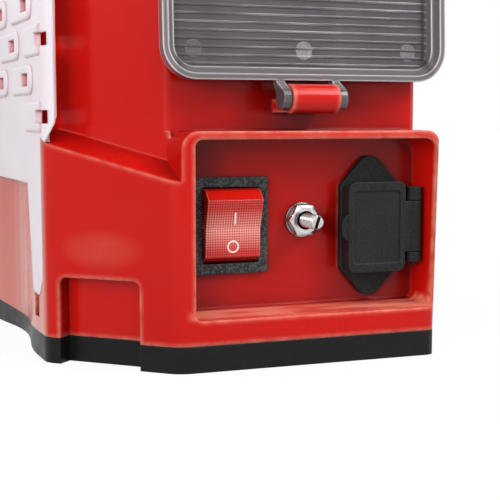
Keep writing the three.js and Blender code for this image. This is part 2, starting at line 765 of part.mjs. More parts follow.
// seen from its side: a shallow V face, sloped ends, and round flanks that clear the opening
function makeRocker() {
  const radius = openingHeight / 2 - rockerGap;
  const face = rockerProud + 1.5;
  const lip = radius - rockerShoulder;
  const points = [];
  for (const degrees of [40, 28, 16, 4, -8]) {
    const a = THREE.MathUtils.degToRad(degrees);
    points.push([radius * Math.sin(a), radius * Math.cos(a)]);
  }
  const upper = [...points, [-face, lip]];
  const lower = upper.map(([y, z]) => [y, -z]).reverse();
  const corners = [...upper, [1.1 - face, 0], ...lower];
  const shape = new THREE.Shape(corners.map(([y, z]) => new THREE.Vector2(y, z)));
  const half = openingWidth / 2 - rockerGap;
  return join(alongX(shape, -half, half), rodX(1.2, 0, 0, -half - 0.7, half + 0.7, 12));
}

const switchTerminal = () => block(-2.4, 2.4, 0.05, 9, -0.4, 0.4);

// ---------------------------------------------------------------- earth stud
function makeStud() {
  const tip = floorY - studLength;
  const radius = studDiameter / 2;
  const points = [[0, 0], [radius - 0.5, 0], [radius, 0.6], [radius, studLength + wall + studInner],
    [0, studLength + wall + studInner]].map(([r, y]) => new THREE.Vector2(r, y));
  const shank = new THREE.LatheGeometry(points, 20).translate(studX, tip, studHeight);
  return cut(shank, block(studX - slotWidth / 2, studX + slotWidth / 2, tip - 1, tip + slotDepth,
    studHeight - radius - 1, studHeight + radius + 1));
}

const hexagon = (flats) => new THREE.Shape([...Array(6).keys()].map((i) => {
  const a = (i * Math.PI) / 3;
  return new THREE.Vector2(Math.cos(a), Math.sin(a)).multiplyScalar(flats / Math.sqrt(3));
}));

// a hexagon nut whose corners are turned off by a cone at its front
function makeNut(y0, thickness) {
  const shape = hexagon(nutFlats);
  const rim = nutFlats / 2 - 0.3;
  const reach = nutFlats / Math.sqrt(3) + 0.1;
  const rise = (reach - rim) * 0.55;
  const cone = [[0, 0], [rim, 0], [reach, rise], [reach, thickness], [0, thickness]];
  const turned = new THREE.LatheGeometry(cone.map(([r, y]) => new THREE.Vector2(r, y)), 24);
  const body = common(turned.translate(0, y0, 0), alongY(shape, y0 - 1, y0 + thickness + 1));
  return cut(body, rodY(studDiameter / 2 + 0.1, 0, 0, y0 - 1, y0 + thickness + 1))
    .translate([studX, 0, studHeight]);
}

const makeWasher = (y0) => cut(
  rodY(washerDiameter / 2, studX, studHeight, y0, y0 + washerThickness, 28),
  rodY(studDiameter / 2 + 0.2, studX, studHeight, y0 - 1, y0 + washerThickness + 1),
);

// ---------------------------------------------------------------- mains inlet
function makeInlet() {
  const x0 = inletX - socketWidth / 2;
  const x1 = inletX + socketWidth / 2;
  const z0 = inletHeight - socketHeight / 2;
  const z1 = inletHeight + socketHeight / 2;
  const shoulderZ = socketHeight / 2 + 0.4;
  const half = flangeWidth / 2;
  const flange = outline([
    [inletX + half, inletHeight - shoulderZ, 2], [inletX + half, inletHeight + shoulderZ, 2],
    [inletX + flangeEndHalf, inletHeight + flangeHeight / 2, flangeEndRadius],
    [inletX - flangeEndHalf, inletHeight + flangeHeight / 2, flangeEndRadius],
    [inletX - half, inletHeight + shoulderZ, 2], [inletX - half, inletHeight - shoulderZ, 2],
    [inletX - flangeEndHalf, inletHeight - flangeHeight / 2, flangeEndRadius],
    [inletX + flangeEndHalf, inletHeight - flangeHeight / 2, flangeEndRadius],
  ]);
  const collar = rounded(x0 - 0.6, x1 + 0.6, z0 - 0.6, z1 + 0.6, 2.5);
  const rearWidth = socketWidth / 2 - 0.05;
  const body = join(
    alongY(flange, floorY - flangeThickness, floorY, 4),
    alongY(collar, collarFront, floorY - 1, 3),
    block(inletX - rearWidth, inletX + rearWidth, floorY - 1, floorY + socketDepth, z0, z1),
    ...inletKnuckles(),
  );
  const cavity = outline([
    [inletX - cavityWidth / 2, inletHeight - cavityHeight / 2, 1.5],
    [inletX + cavityWidth / 2 - 4, inletHeight - cavityHeight / 2, 0.5],
    [inletX + cavityWidth / 2, inletHeight - cavityHeight / 2 + 4, 0.5],
    [inletX + cavityWidth / 2, inletHeight + cavityHeight / 2 - 4, 0.5],
    [inletX + cavityWidth / 2 - 4, inletHeight + cavityHeight / 2, 0.5],
    [inletX - cavityWidth / 2, inletHeight + cavityHeight / 2, 1.5],
  ]);
  return cut(
    body,
    alongY(cavity, collarFront - 1, floorY + socketDepth - 8, 2),
    ...pinPlaces.map(([x, z]) => pinBlock(x, z, 0.05)),
    rodZ(knucklePinRadius + 0.1, pinX, pinY, inletHeight - 40, inletHeight + 40, 12),
  );
}

// the two knuckles that the inlet carries, on arms from its flange
function inletKnuckles() {
  const top = inletHeight + knuckleTop;
  const lidTop = top - knuckleTopLength;
  const lidEnd = lidTop - knuckleLidLength;
  const spans = [[lidTop + runningGap, top], [lidEnd - runningGap - knuckleBottomLength, lidEnd - runningGap]];
  return spans.flatMap(([z0, z1]) => [
    rodZ(knuckleRadius, pinX, pinY, z0, z1, 16),
    block(inletX + flangeWidth / 2 - 3, pinX + 1, lidBack + seat, floorY - 0.2, z0, z1),
  ]);
}

const pinPlaces = [
  [inletX + 3, inletHeight], [inletX - 2, inletHeight - 7], [inletX - 2, inletHeight + 7],
];

const pinBlock = (x, z, grow) => block(x - 1 - grow, x + 1 + grow, floorY + 6, floorY + socketDepth + 7,
  z - 2 - grow, z + 2 + grow);

function makeLid() {
  const x0 = lidX - lidWidth / 2;
  const x1 = lidX + lidWidth / 2;
  const z0 = inletHeight - lidHeight / 2;
  const z1 = inletHeight + lidHeight / 2;
  const top = inletHeight + knuckleTop - knuckleTopLength;
  const low = top - knuckleLidLength;
  const tab = outline([
    [x0 - tabWidth, inletHeight - tabHeight / 2, tabHeight * 0.4], [x0 + 2, inletHeight - tabHeight / 2, 0],
    [x0 + 2, inletHeight + tabHeight / 2, 0], [x0 - tabWidth, inletHeight + tabHeight / 2, tabHeight * 0.4],
  ]);
  const panel = rounded(x0 + lidBorder, x1 - lidBorder, z0 + lidEndBorder, z1 - lidEndBorder, lidRadius - 1);
  const body = join(
    alongY(rounded(x0, x1, z0, z1, lidRadius), lidFront, lidBack, 4),
    alongY(tab, lidFront + 0.3, lidBack, 3),
    rodZ(knuckleRadius, pinX, pinY, low, top, 16),
    block(x1 - 1, pinX, lidFront + 0.2, lidBack, low, top),
  );
  const bore = rodZ(knucklePinRadius + runningGap / 2, pinX, pinY, low - 1, top + 1, 12);
  return cut(body, alongY(panel, lidFront - 1, lidFront + 0.5, 3), bore)
    .translate([-pinX, -pinY, 0]);
}

function makeHingePin() {
  const top = inletHeight + knuckleTop;
  const low = top - knuckleTopLength - knuckleLidLength - runningGap - knuckleBottomLength;
  return rodZ(knucklePinRadius, pinX, pinY, low - 1.2, top - 0.4, 12);
}

// ---------------------------------------------------------------- flap
// drawn upright about its hinge axis: z is up from the axis, y runs back from the rim's plane
function makeFlap() {
  const x0 = -hingeOffset - flapWidth / 2;
  const x1 = -hingeOffset + flapWidth / 2;
  const rim = flapRimBehindAxis;
  const z0 = flapAxisToEdge;
  const z1 = z0 + flapHeight;
  const tray = (inset, y0, y1) => alongY(rounded(x0 + inset, x1 - inset, z0 + inset, z1 - inset,
    flapRadius - inset), y0, y1, 5);
  const shell = cut(
    join(tray(0, rim, rim + flapFlangeDepth), tray(flapStep, rim + flapFlangeDepth - 1, rim + flapDepth)),
    tray(flapWall, rim - 1, rim + flapFlangeDepth - flapWall),
    tray(flapWall + flapStep, rim, rim + flapDepth - flapWall),
  );
  return join(shell, ...ribs(z0, z1, rim), ...ears());
}

const flapRimBehindAxis = 2.5;

// fine moulded ribs across the inside of the flap
function ribs(z0, z1, rim) {
  const list = [];
  const inset = flapWall + flapStep - 0.3;
  const y = rim + flapDepth - flapWall;
  const room = alongY(rounded(-hingeOffset - flapWidth / 2 + inset, -hingeOffset + flapWidth / 2 - inset,
    z0 + inset, z1 - inset, flapRadius - inset), y - ribHeight - 1, y + 0.2, 3);
  for (let z = z0 + flapWall + flapStep + ribPitch / 2; z < z1 - inset - ribWidth; z += ribPitch) {
    list.push(block(-flapWidth, flapWidth, y - ribHeight, y + 0.2, z - ribWidth / 2, z + ribWidth / 2));
  }
  return [common(join(...list), room)];
}

// two ears with stub pins that snap into the barrel's ends
function ears() {
  const start = barrelLength / 2 + runningGap;
  const rim = flapRimBehindAxis;
  const arm = outline([
    [0.7 - earRadius, 0, 0], [earRadius - 1.4, 0, 0], [rim + 3, flapAxisToEdge - 0.4, 0.8],
    [rim + 3, flapAxisToEdge + 1.5, 0], [rim + 0.2, flapAxisToEdge + 1.5, 0],
    [rim + 0.2, flapAxisToEdge - 0.4, 0.8], [1 - earRadius, 2.6, 1.2],
  ]);
  return [-1, 1].flatMap((side) => {
    const x0 = side > 0 ? start : -start - earWidth;
    const stub0 = side > 0 ? start - stubLength : -start - 0.5;
    const stub1 = side > 0 ? start + 0.5 : -start + stubLength;
    return [alongX(arm, x0, x0 + earWidth, 3), rodX(earRadius, 0, 0, x0, x0 + earWidth, 20),
      rodX(stubRadius, 0, 0, stub0, stub1, 16)];
  });
}

// ---------------------------------------------------------------- top cover, handle, selector
function makeCover() {
  const inset = coverRound;
  const bevel = { bevelEnabled: true, bevelSize: coverRound, bevelThickness: coverRound, bevelSegments: 3 };
  const dome = extruded(upperPlan(inset), coverThickness, 4, bevel).translate(0, 0, housingTop - coverRound);
  const top = cut(dome, block(left - 9, right + 9, front - 9, back + 9, housingTop - 20, housingTop));
  const trimmed = cut(top, block(left - 9, right + 9, front - 9, back + 9, coverTop, coverTop + 20));
  const plug = up(upperPlan(wall + seat), housingTop - tongue, housingTop + 0.5, 3);
  const hollow = up(upperPlan(2 * wall + seat), housingTop - tongue - 1, coverTop - wall, 3);
  const holes = [rodZ(knobSpindle + seat, knobX, knobY, coverTop - 9, coverTop + 1, 16),
    ...lensPlaces.map(([x, y]) => rodZ(lensRadius + 0.1, x, y, coverTop - 9, coverTop + 1, 16))];
  return cut(join(trimmed, plug), hollow, ...holes);
}

const knobX = handleX;
const knobY = upperFront + knobFromEnd + coverRound;
const lensPlaces = [[knobX - lensPitch, knobY], [knobX + lensPitch, knobY]];

// an arched bar on two posts, drawn in Y and Z, with rounded long edges
function makeHandle() {
  const y0 = handleMiddle - handleLength / 2;
  const y1 = handleMiddle + handleLength / 2;
  const r = 14;
  const inset = 2.5;
  const outer = outline([[y0 + inset, coverTop - 5, 0], [y1 - inset, coverTop - 5, 0],
    [y1 - inset, coverTop + handleHeight - inset, r], [y0 + inset, coverTop + handleHeight - inset, r]]);
  const gap = outline([[y0 + handlePost, coverTop - 9, 0], [y1 - handlePost, coverTop - 9, 0],
    [y1 - handlePost, coverTop + handleHeight - handleBar, 8],
    [y0 + handlePost, coverTop + handleHeight - handleBar, 8]]);
  const bevel = { bevelEnabled: true, bevelSize: inset, bevelThickness: inset, bevelSegments: 2 };
  const bar = extruded(outer, handleWidth - 2 * inset, 6, bevel)
    .rotateX(Math.PI / 2).rotateZ(Math.PI / 2).translate(handleX - handleWidth / 2 + inset, 0, 0);
  return cut(
    bar,
    alongX(gap, handleX - handleWidth, handleX + handleWidth, 6),
    block(handleX - handleWidth, handleX + handleWidth, y0 - 9, y1 + 9, coverTop - handleHeight, coverTop),
  );
}

function makeKnob() {
  const bottom = coverTop + 0.5;
  const profile = [[0, 0], [knobRadius + 1, 0], [knobRadius + 1, 2], [knobRadius, 2.6],
    [knobRadius - 1, knobHeight - 1.2], [knobRadius - 2.2, knobHeight], [0, knobHeight]];
  const body = new THREE.LatheGeometry(profile.map(([r, z]) => new THREE.Vector2(r, z)), 30)
    .rotateX(Math.PI / 2).translate(0, 0, bottom);
  const flutes = [...Array(10).keys()].map((i) => {
    const a = (i * Math.PI) / 5 + Math.PI / 10;
    return rodZ(1.9, Math.cos(a) * (knobRadius + 0.8), Math.sin(a) * (knobRadius + 0.8), bottom + 2.8,
      bottom + knobHeight + 1, 10);
  });
  const pointer = block(-0.6, 0.6, -knobRadius, -3, bottom + knobHeight - 0.7, bottom + knobHeight + 1);
  return join(cut(body, ...flutes, pointer), rodZ(knobSpindle, 0, 0, coverTop - wall - 2, bottom + 1, 16));
}

const makeSelector = () => join(
  block(knobX - selectorWidth / 2, knobX + selectorWidth / 2, knobY - selectorLength / 2,
    knobY + selectorLength / 2, coverTop - wall - 2.3 - selectorDepth, coverTop - wall - 2.3),
  cut(rodZ(6, knobX, knobY, coverTop - wall - 3, coverTop - wall, 20),
    rodZ(knobSpindle + seat, knobX, knobY, coverTop - wall - 2.2, coverTop + 1, 16)),
);

function makeLens(x, y) {
  const points = [[0, -6], [lensRadius, -6], [lensRadius, 0.6], [lensRadius * 0.7, 1.5], [0, 1.9]];
  return new THREE.LatheGeometry(points.map(([r, z]) => new THREE.Vector2(r, z)), 16)
    .rotateX(Math.PI / 2).translate(x, y, coverTop);
}

// ---------------------------------------------------------------- inside
function makeCore() {
  const half = coreWidth / 2;
  const z0 = floorThickness;
  const shape = rounded(coreX - half, coreX + half, z0, z0 + coreHeight, 0.5);
  const windowsOfCore = [-1, 1].map((side) => {
    const middle = coreX + side * (coreLeg + (coreWidth / 2 - 2 * coreLeg) / 2);
    const reach = (coreWidth / 2 - 2 * coreLeg) / 2;
    return block(middle - reach, middle + reach, coreY - coreStack, coreY + coreStack, z0 + coreLeg,
      z0 + coreHeight - coreLeg);
  });
  return cut(alongY(shape, coreY - coreStack / 2, coreY + coreStack / 2, 1), ...windowsOfCore);
}

function makeWinding() {
  const x = coreWidth / 2 - coreLeg - seat;
  const y = coreStack / 2 + 11;
  const z0 = floorThickness + coreLeg + seat;
  const z1 = floorThickness + coreHeight - coreLeg - seat;
  return cut(
    up(rounded(coreX - x, coreX + x, coreY - y, coreY + y, 6), z0, z1, 4),
    block(coreX - coreLeg - seat, coreX + coreLeg + seat, coreY - coreStack / 2 - seat,
      coreY + coreStack / 2 + seat, z0 - 1, z1 + 1),
  );
}

const makeBoard = () => up(rounded(boardX - boardWidth / 2, boardX + boardWidth / 2,
  boardY - boardLength / 2, boardY + boardLength / 2, 2), boardZ, boardZ + boardThickness, 2);

function makeCapacitor(x, y) {
  const z0 = boardZ + boardThickness;
  const radius = capacitorRadius;
  const points = [[0, 0], [radius - 0.4, 0], [radius, 0.6], [radius, 2], [radius - 0.5, 2.6], [radius, 3.2],
    [radius, capacitorHeight - 1], [radius - 0.6, capacitorHeight], [0, capacitorHeight]];
  return new THREE.LatheGeometry(points.map(([r, z]) => new THREE.Vector2(r, z)), 20)
    .rotateX(Math.PI / 2).translate(x, y, z0);
}

function makeHeatSink() {
  const z0 = boardZ + boardThickness;
  const z1 = z0 + sinkHeight;
  const y0 = boardY - sinkStart;
  const y1 = y0 + (sinkFins - 1) * finPitch + finThickness;
  const fins = [...Array(sinkFins).keys()].map((i) => block(sinkX + sinkPlate - 0.5,
    sinkX + sinkPlate + sinkFin, y0 + i * finPitch, y0 + i * finPitch + finThickness, z0, z1));
  return join(block(sinkX, sinkX + sinkPlate, y0, y1, z0, z1), ...fins);
}

const makeRectifier = () => {
  const z0 = boardZ + boardThickness + rectifierLift;
  return block(sinkX - rectifierThickness, sinkX, boardY - rectifierSize / 2, boardY + rectifierSize / 2,
    z0, z0 + rectifierSize);
};

function makeFanFrame() {
  const half = fanSize / 2;
  const y0 = fanWall - fanThickness;
  const shape = rounded(fanX - half, fanX + half, fanZ - half, fanZ + half, 4);
  const struts = [0, 1, 2].map((i) => block(fanHub - 1, fanBore + 0.5, y0, y0 + 2, -1.5, 1.5)
    .rotateY((i * Math.PI * 2) / 3 + 0.5).translate(fanX, 0, fanZ));
  const rimOfFan = cut(alongY(shape, y0, fanWall, 3), rodY(fanBore, fanX, fanZ, y0 - 1, fanWall + 1, 36));
  return cut(join(rimOfFan, rodY(fanHub, fanX, fanZ, y0, y0 + 3, 24), ...struts),
    rodY(1.5 + seat, fanX, fanZ, y0 + 0.8, y0 + 4, 12));
}

function makeRotor() {
  const y0 = fanWall - fanThickness + 3 + runningGap;
  const hub = rodY(fanHub, 0, 0, y0, y0 + 9.5, 24);
  const blades = [...Array(7).keys()].map((i) => new THREE.BoxGeometry(fanTip - fanHub + 1, 9, 1.1)
    .rotateX(0.7).translate((fanTip + fanHub - 1) / 2, y0 + 4.8, 0).rotateY((i * Math.PI * 2) / 7));
  return join(hub, rodY(1.5, 0, 0, y0 - 2.2, y0 + 1, 12), ...blades);
}

// the output lead's gland: a hexagon and a dome outside, a threaded sleeve inside
function makeGland() {
  const points = [[glandBore, 0], [glandRadius, 0], [glandRadius, 12], [glandRadius + 3.2, 12],
    [glandRadius + 3.2, 15], [glandRadius, 15.6], [glandRadius - 1.5, 24], [glandBore, 26], [glandBore, 0]];
  const turned = new THREE.LatheGeometry(points.map(([r, y]) => new THREE.Vector2(r, y)), 24)
    .translate(glandX, back - 12, glandZ);
  return turned;
}

const makeGlandNut = () => cut(
  alongY(hexagon(22), back - wall - 5, back - wall).translate(glandX, 0, glandZ),
  rodY(glandRadius + 0.1, glandX, glandZ, back - wall - 6, back, 20),
);

// ---------------------------------------------------------------- assembling
const group = new THREE.Group();

const finishes = {
  red: { color: 0xc91d12, roughness: 0.25, metalness: 0 },
  black: { color: 0x1b1b1b, roughness: 0.5, metalness: 0 },
  rockerRed: { color: 0xd2231c, roughness: 0.3, metalness: 0 },
  white: { color: 0xe8e0ea, roughness: 0.35, metalness: 0 },
  smoke: { color: 0x6a6567, roughness: 0.2, metalness: 0 },
  nickel: { color: 0xc8c8c4, roughness: 0.25, metalness: 1 },
  brass: { color: 0xb5923c, roughness: 0.35, metalness: 1 },
  steel: { color: 0x8a8d90, roughness: 0.4, metalness: 1 },
  copper: { color: 0xa8572a, roughness: 0.4, metalness: 0.9 },
  green: { color: 0x1d5a34, roughness: 0.5, metalness: 0 },
  aluminium: { color: 0xb4b6b8, roughness: 0.4, metalness: 1 },
  lens: { color: 0x2fae4a, roughness: 0.15, metalness: 0 },
};

function add(name, shape, finish, place = [0, 0, 0], lean = 0) {
  const geometry = shape.isBufferGeometry ? shape : geometryOf(shape);
  const mesh = new THREE.Mesh(geometry, new THREE.MeshStandardMaterial(finishes[finish]));
  mesh.name = name;
  mesh.position.set(...place);
  mesh.rotation.x = THREE.MathUtils.degToRad(lean);
  group.add(mesh);
}

add('housing', makeHousing(), 'red');
add('base_tray', makeBase(), 'black');
add('top_cover', makeCover(), 'red');
add('side_panel', makeSidePanel(), 'white');
add('carry_handle', makeHandle(), 'black');
add('flap', makeFlap(), 'smoke', [hingeX, flapAxisY, flapAxisHeight], -flapOpenLean);

add('switch_frame', makeSwitchFrame(), 'black');
add('rocker', makeRocker(), 'rockerRed', [switchX, rockerPivotY, switchAxisHeight], rockerTilt);
[-8, 0, 8].forEach((z, i) => add(`switch_terminal_${i + 1}`, switchTerminal(), 'brass',
  [switchX, floorY + switchBodyDepth, switchAxisHeight + z]));

add('earth_stud', makeStud(), 'nickel');
add('earth_washer', makeWasher(floorY - washerThickness), 'nickel');
add('earth_nut', makeNut(floorY - washerThickness - nutThickness, nutThickness), 'nickel');
add('earth_nut_inner', makeNut(floorY + wall, nutThickness), 'nickel');

add('inlet_socket', makeInlet(), 'black');
['earth', 'line', 'neutral'].forEach((name, i) => add(`inlet_pin_${name}`,
  pinBlock(...pinPlaces[i], 0), 'brass'));
add('inlet_lid', makeLid(), 'black', [pinX, pinY, 0]);
add('lid_hinge_pin', makeHingePin(), 'steel');

add('selector_knob', makeKnob(), 'black', [knobX, knobY, 0]);
add('selector_switch', makeSelector(), 'black');
lensPlaces.forEach(([x, y], i) => add(`indicator_lens_${i + 1}`, makeLens(x, y), 'lens'));

add('transformer_core', makeCore(), 'steel');
add('transformer_winding', makeWinding(), 'copper');
add('circuit_board', makeBoard(), 'green');
capacitorPlaces.forEach(([x, y], i) => add(`capacitor_${i + 1}`, makeCapacitor(boardX + x, boardY + y),
  'black'));
add('heat_sink', makeHeatSink(), 'aluminium');
add('bridge_rectifier', makeRectifier(), 'black');
add('fan_frame', makeFanFrame(), 'black');
add('fan_rotor', makeRotor(), 'black', [fanX, 0, fanZ]);
add('output_gland', makeGland(), 'black');
add('gland_nut', makeGlandNut(), 'black');
screwPlaces.forEach(([x, y], i) => add(`base_screw_${i + 1}`, baseScrew(), 'steel', [x, y, 0]));

export default group;
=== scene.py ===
# Looks of the car battery charger, in metres, in the frame of its solids: x across the
# connection box, y from the box's front to the far end, z up.
import json
import math

import bmesh
import bpy
from mathutils import Matrix, Vector


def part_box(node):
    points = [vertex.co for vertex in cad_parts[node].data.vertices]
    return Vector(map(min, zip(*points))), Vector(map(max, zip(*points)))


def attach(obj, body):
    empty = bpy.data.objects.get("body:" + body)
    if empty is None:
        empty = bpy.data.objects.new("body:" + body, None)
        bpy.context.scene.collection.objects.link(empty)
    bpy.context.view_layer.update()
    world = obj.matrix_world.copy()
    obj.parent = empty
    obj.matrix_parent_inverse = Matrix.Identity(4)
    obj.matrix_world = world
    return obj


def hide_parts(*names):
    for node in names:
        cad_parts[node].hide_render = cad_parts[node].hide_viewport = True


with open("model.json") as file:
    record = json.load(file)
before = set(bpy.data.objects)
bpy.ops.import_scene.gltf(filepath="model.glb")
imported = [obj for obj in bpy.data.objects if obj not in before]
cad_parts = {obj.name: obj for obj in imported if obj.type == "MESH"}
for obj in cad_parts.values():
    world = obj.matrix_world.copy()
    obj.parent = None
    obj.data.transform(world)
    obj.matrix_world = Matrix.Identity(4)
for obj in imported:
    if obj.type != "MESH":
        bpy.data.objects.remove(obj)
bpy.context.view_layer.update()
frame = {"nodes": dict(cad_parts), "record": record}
scene = bpy.context.scene
nodes = frame["nodes"]
MM = 0.001
TURN = 2 * math.pi

# ------------------------------------------------------------------ camera
CAMERA_PLACE = Vector((-143.36, -445.42, 79.15)) * MM
CAMERA_HEADING = math.radians(21.6)      # to the right of +Y
CAMERA_PITCH = math.radians(-6.2)
FOCAL_PIXELS, FRAME_PIXELS = 1204, 500
SENSOR_WIDTH = 36                        # mm

# ------------------------------------------------------------------ light
LIT_POINT = Vector((0.0, -0.07, 0.09))   # the point that every lamp looks at
AMBIENT = 0.04
FLOOR_REACH = 6.0
FLOOR_GREY = 0.25
FLOOR_GLOW_SHARE = 0.8
FLOOR_GLOW = (1.18, 1.27)                # at the object, and from FLOOR_FAR outwards
FLOOR_NEAR, FLOOR_FAR = 0.15, 0.6

# ------------------------------------------------------------------ places on the cabinet
COVER_TOP = 183.0 * MM
PATCH_ALONG = (19.6 * MM, 14.0 * MM)     # the painted reflection's middle and half size along the flank, up it and square to it
PATCH_UP = (38.0 * MM, 6.0 * MM)         # up it
PATCH_OUT = (-87.5 * MM, 9.0 * MM)       # and square to it
# The other pairs are the coordinates between which a finish fades in or out.
RECESS_FRONT = (-88.0 * MM, -85.0 * MM)
RECESS_ROOF = (70.0 * MM, 74.0 * MM)
RECESS_LEFT = (-26.0 * MM, -22.0 * MM)
SILL_TOP = (18.6 * MM, 20.5 * MM)
SILL_FOOT = (15.8 * MM, 16.6 * MM)
SILL_BACK = (-84.0 * MM, -82.5 * MM)
LONG_SIDE = (-40.0 * MM, -36.0 * MM)
SHEEN_HEIGHT = (10.0 * MM, 70.0 * MM)

# ------------------------------------------------------------------ places on the smaller pieces
FLAP_HINGE = Vector((17.5, -93.0, 85.6)) * MM
FLAP_LEAN = math.radians(-2.5)
FLAP_PANEL = 8.0 * MM                    # inner face of the flap's panel behind its hinge axis
FLAP_MARKS = [(0.9 + side * 38.0) * MM for side in (-1, 0, 1)]
FLAP_MARK_HEIGHT = 16.0 * MM
FLAP_LEFT_RIM = (-27.0 * MM, -25.5 * MM)
FLAP_RIGHT_RIM = (62.3 * MM, 63.8 * MM)
FLAP_LOWER_RIM = (95.0 * MM, 96.5 * MM)
FLAP_EARS = (88.0 * MM, 90.0 * MM)
ROCKER_AXIS = Vector((-6.4, -81.3, 45.0)) * MM
ROCKER_REST = math.radians(10)
ROCKER_LIP = (-4.9 * MM, 9.4 * MM)       # outer edge of a facet: out of the axis, and up
ROCKER_VALLEY = -3.8 * MM                # line where the two facets meet
ROCKER_DOT_PITCH = 0.82 * MM
ROCKER_HIGHLIGHT = 43.6 * MM                  # height of its painted highlight band
ROCKER_HIGHLIGHT_FADE = (0.6 * MM, 7.0 * MM)  # away from that band
ROCKER_END = (53.7 * MM, 54.3 * MM)      # its upper end, without dots
PRINT_THICKNESS = 0.05 * MM
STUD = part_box("earth_stud")
STUD_MIDDLE = ((STUD[0][0] + STUD[1][0]) / 2, (STUD[0][2] + STUD[1][2]) / 2)
STUD_TIP = STUD[0][1] - 2.0 * MM
STUD_RADIUS = 2.45 * MM
NUT_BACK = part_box("earth_nut")[1][1]
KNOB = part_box("selector_knob")
SHEET_PITCH = 0.6 * MM                   # of the transformer's core
WIRE_PITCH = 1.4 * MM                    # of its winding


# ------------------------------------------------------------------ material helpers
def srgb(red, green, blue):
    """A display colour of 0 to 255 a channel, made linear."""
    def linear(channel):
        value = channel / 255
        return value / 12.92 if value <= 0.04045 else ((value + 0.055) / 1.055) ** 2.4
    return (linear(red), linear(green), linear(blue))


class Shader:
    """A node material, built one node at a time round a Principled shader."""

    def __init__(self, name, color, roughness, **sockets):
        self.material = bpy.data.materials.new(name)
        self.material.use_nodes = True
        self.material.diffuse_color = (*color, 1)
        self.tree = self.material.node_tree
        self.shader = self.tree.nodes["Principled BSDF"]
        self.shader.inputs["Base Color"].default_value = (*color, 1)
        self.shader.inputs["Roughness"].default_value = roughness
        for socket, value in sockets.items():
            self.shader.inputs[socket.replace("_", " ")].default_value = value

    def node(self, kind, **settings):
        """A new node with these settings."""
        made = self.tree.nodes.new(kind)
        for name, value in settings.items():
            setattr(made, name, value)
        return made

    def link(self, source, target):
        """Joins an output to an input."""
        self.tree.links.new(source, target)

    def math(self, operation, *values):
        """An operation on numbers or other nodes' outputs."""
        made = self.node("ShaderNodeMath", operation=operation)
        for socket, value in zip(made.inputs, values):
            if isinstance(value, (int, float)):
                socket.default_value = value
            else:
                self.link(value, socket)
        return made.outputs[0]

    def both(self, *masks):
        """As strong as all the masks together."""
        product = masks[0]
        for mask in masks[1:]:
            product = self.math("MULTIPLY", product, mask)
        return product

    def either(self, *masks):
        """As strong as the strongest mask."""
        largest = masks[0]
        for mask in masks[1:]:
            largest = self.math("MAXIMUM", largest, mask)
        return largest

    def place(self):
        """The point on the piece, in metres."""
        return self.node("ShaderNodeTexCoord").outputs["Object"]

    def axis(self, name):
        """One coordinate of the point on the piece."""
        split = self.node("ShaderNodeSeparateXYZ")
        self.link(self.place(), split.inputs[0])
        return split.outputs[name]

    def facing(self, name):
        """How far the surface looks along an axis, -1 to 1."""
        split = self.node("ShaderNodeSeparateXYZ")
        self.link(self.node("ShaderNodeTexCoord").outputs["Normal"], split.inputs[0])
        return split.outputs[name]

    def waves(self, along, pitch):
        """-1 to 1 and back at every pitch."""
        return self.math("SINE", self.math("MULTIPLY", along, TURN / pitch))

    def noise(self, scale, detail=3.0, stretch=(1, 1, 1)):
        """Smooth noise round 0.5, set by the place alone."""
        mapping = self.node("ShaderNodeMapping")
        mapping.inputs["Scale"].default_value = stretch
        self.link(self.place(), mapping.inputs["Vector"])
        texture = self.node("ShaderNodeTexNoise")
        texture.inputs["Scale"].default_value = scale
        texture.inputs["Detail"].default_value = detail
        self.link(mapping.outputs[0], texture.inputs["Vector"])
        return texture.outputs["Fac"]

    def spread(self, value, low, high, start=0.3, end=0.7):
        """value from start to end turned into low to high."""
        made = self.node("ShaderNodeMapRange")
        self.link(value, made.inputs["Value"])
        limits = (("From Min", start), ("From Max", end), ("To Min", low), ("To Max", high))
        for socket, number in limits:
            made.inputs[socket].default_value = number
        return made.outputs[0]

    def blend_color(self, factor, first, second):
        """first at 0, second at 1; each is a colour or another node's output."""
        made = self.node("ShaderNodeMix", data_type="RGBA")
        self.link(factor, made.inputs["Factor"])
        for socket, value in ((made.inputs["A"], first), (made.inputs["B"], second)):
            if isinstance(value, tuple):
                socket.default_value = (*value, 1)
            else:
                self.link(value, socket)
        return made.outputs["Result"]

    def paint(self, color):
        """Gives the surface its colour."""
        self.link(color, self.shader.inputs["Base Color"])

    def rough(self, value):
        """Gives the surface its roughness."""
        self.link(value, self.shader.inputs["Roughness"])

    def round_edges(self, radius):
        """Edges that catch the light as moulded edges of this radius do."""
        made = self.node("ShaderNodeBevel", samples=6)
        made.inputs["Radius"].default_value = radius
        self.link(made.outputs[0], self.shader.inputs["Normal"])

    def hollows(self, reach, inside=False):
        """0 deep in a hollow of this reach, 1 in the open; inside, 0 along the outward edges."""
        made = self.node("ShaderNodeAmbientOcclusion", samples=8, inside=inside)
        made.inputs["Distance"].default_value = reach
        return made.outputs["AO"]

    def painted_edge_highlight(self, reach, amount, end=0.8):
        """Painted highlight: amount along the outward edges, broken up a little, and 0 elsewhere.
        """
        along_edges = self.spread(self.hollows(reach, inside=True), amount, 0, 0.45, end)
        return self.both(along_edges, self.spread(self.noise(220, 3.0), 0.35, 1.0))

    def bump(self, height, strength, distance):
        """Relief, over what already bends the surface's normal."""
        made = self.node("ShaderNodeBump")
        made.inputs["Strength"].default_value = strength
        made.inputs["Distance"].default_value = distance
        self.link(height, made.inputs["Height"])
        last = self.shader.inputs["Normal"]
        if last.is_linked:
            self.link(last.links[0].from_socket, made.inputs["Normal"])
        self.link(made.outputs[0], last)


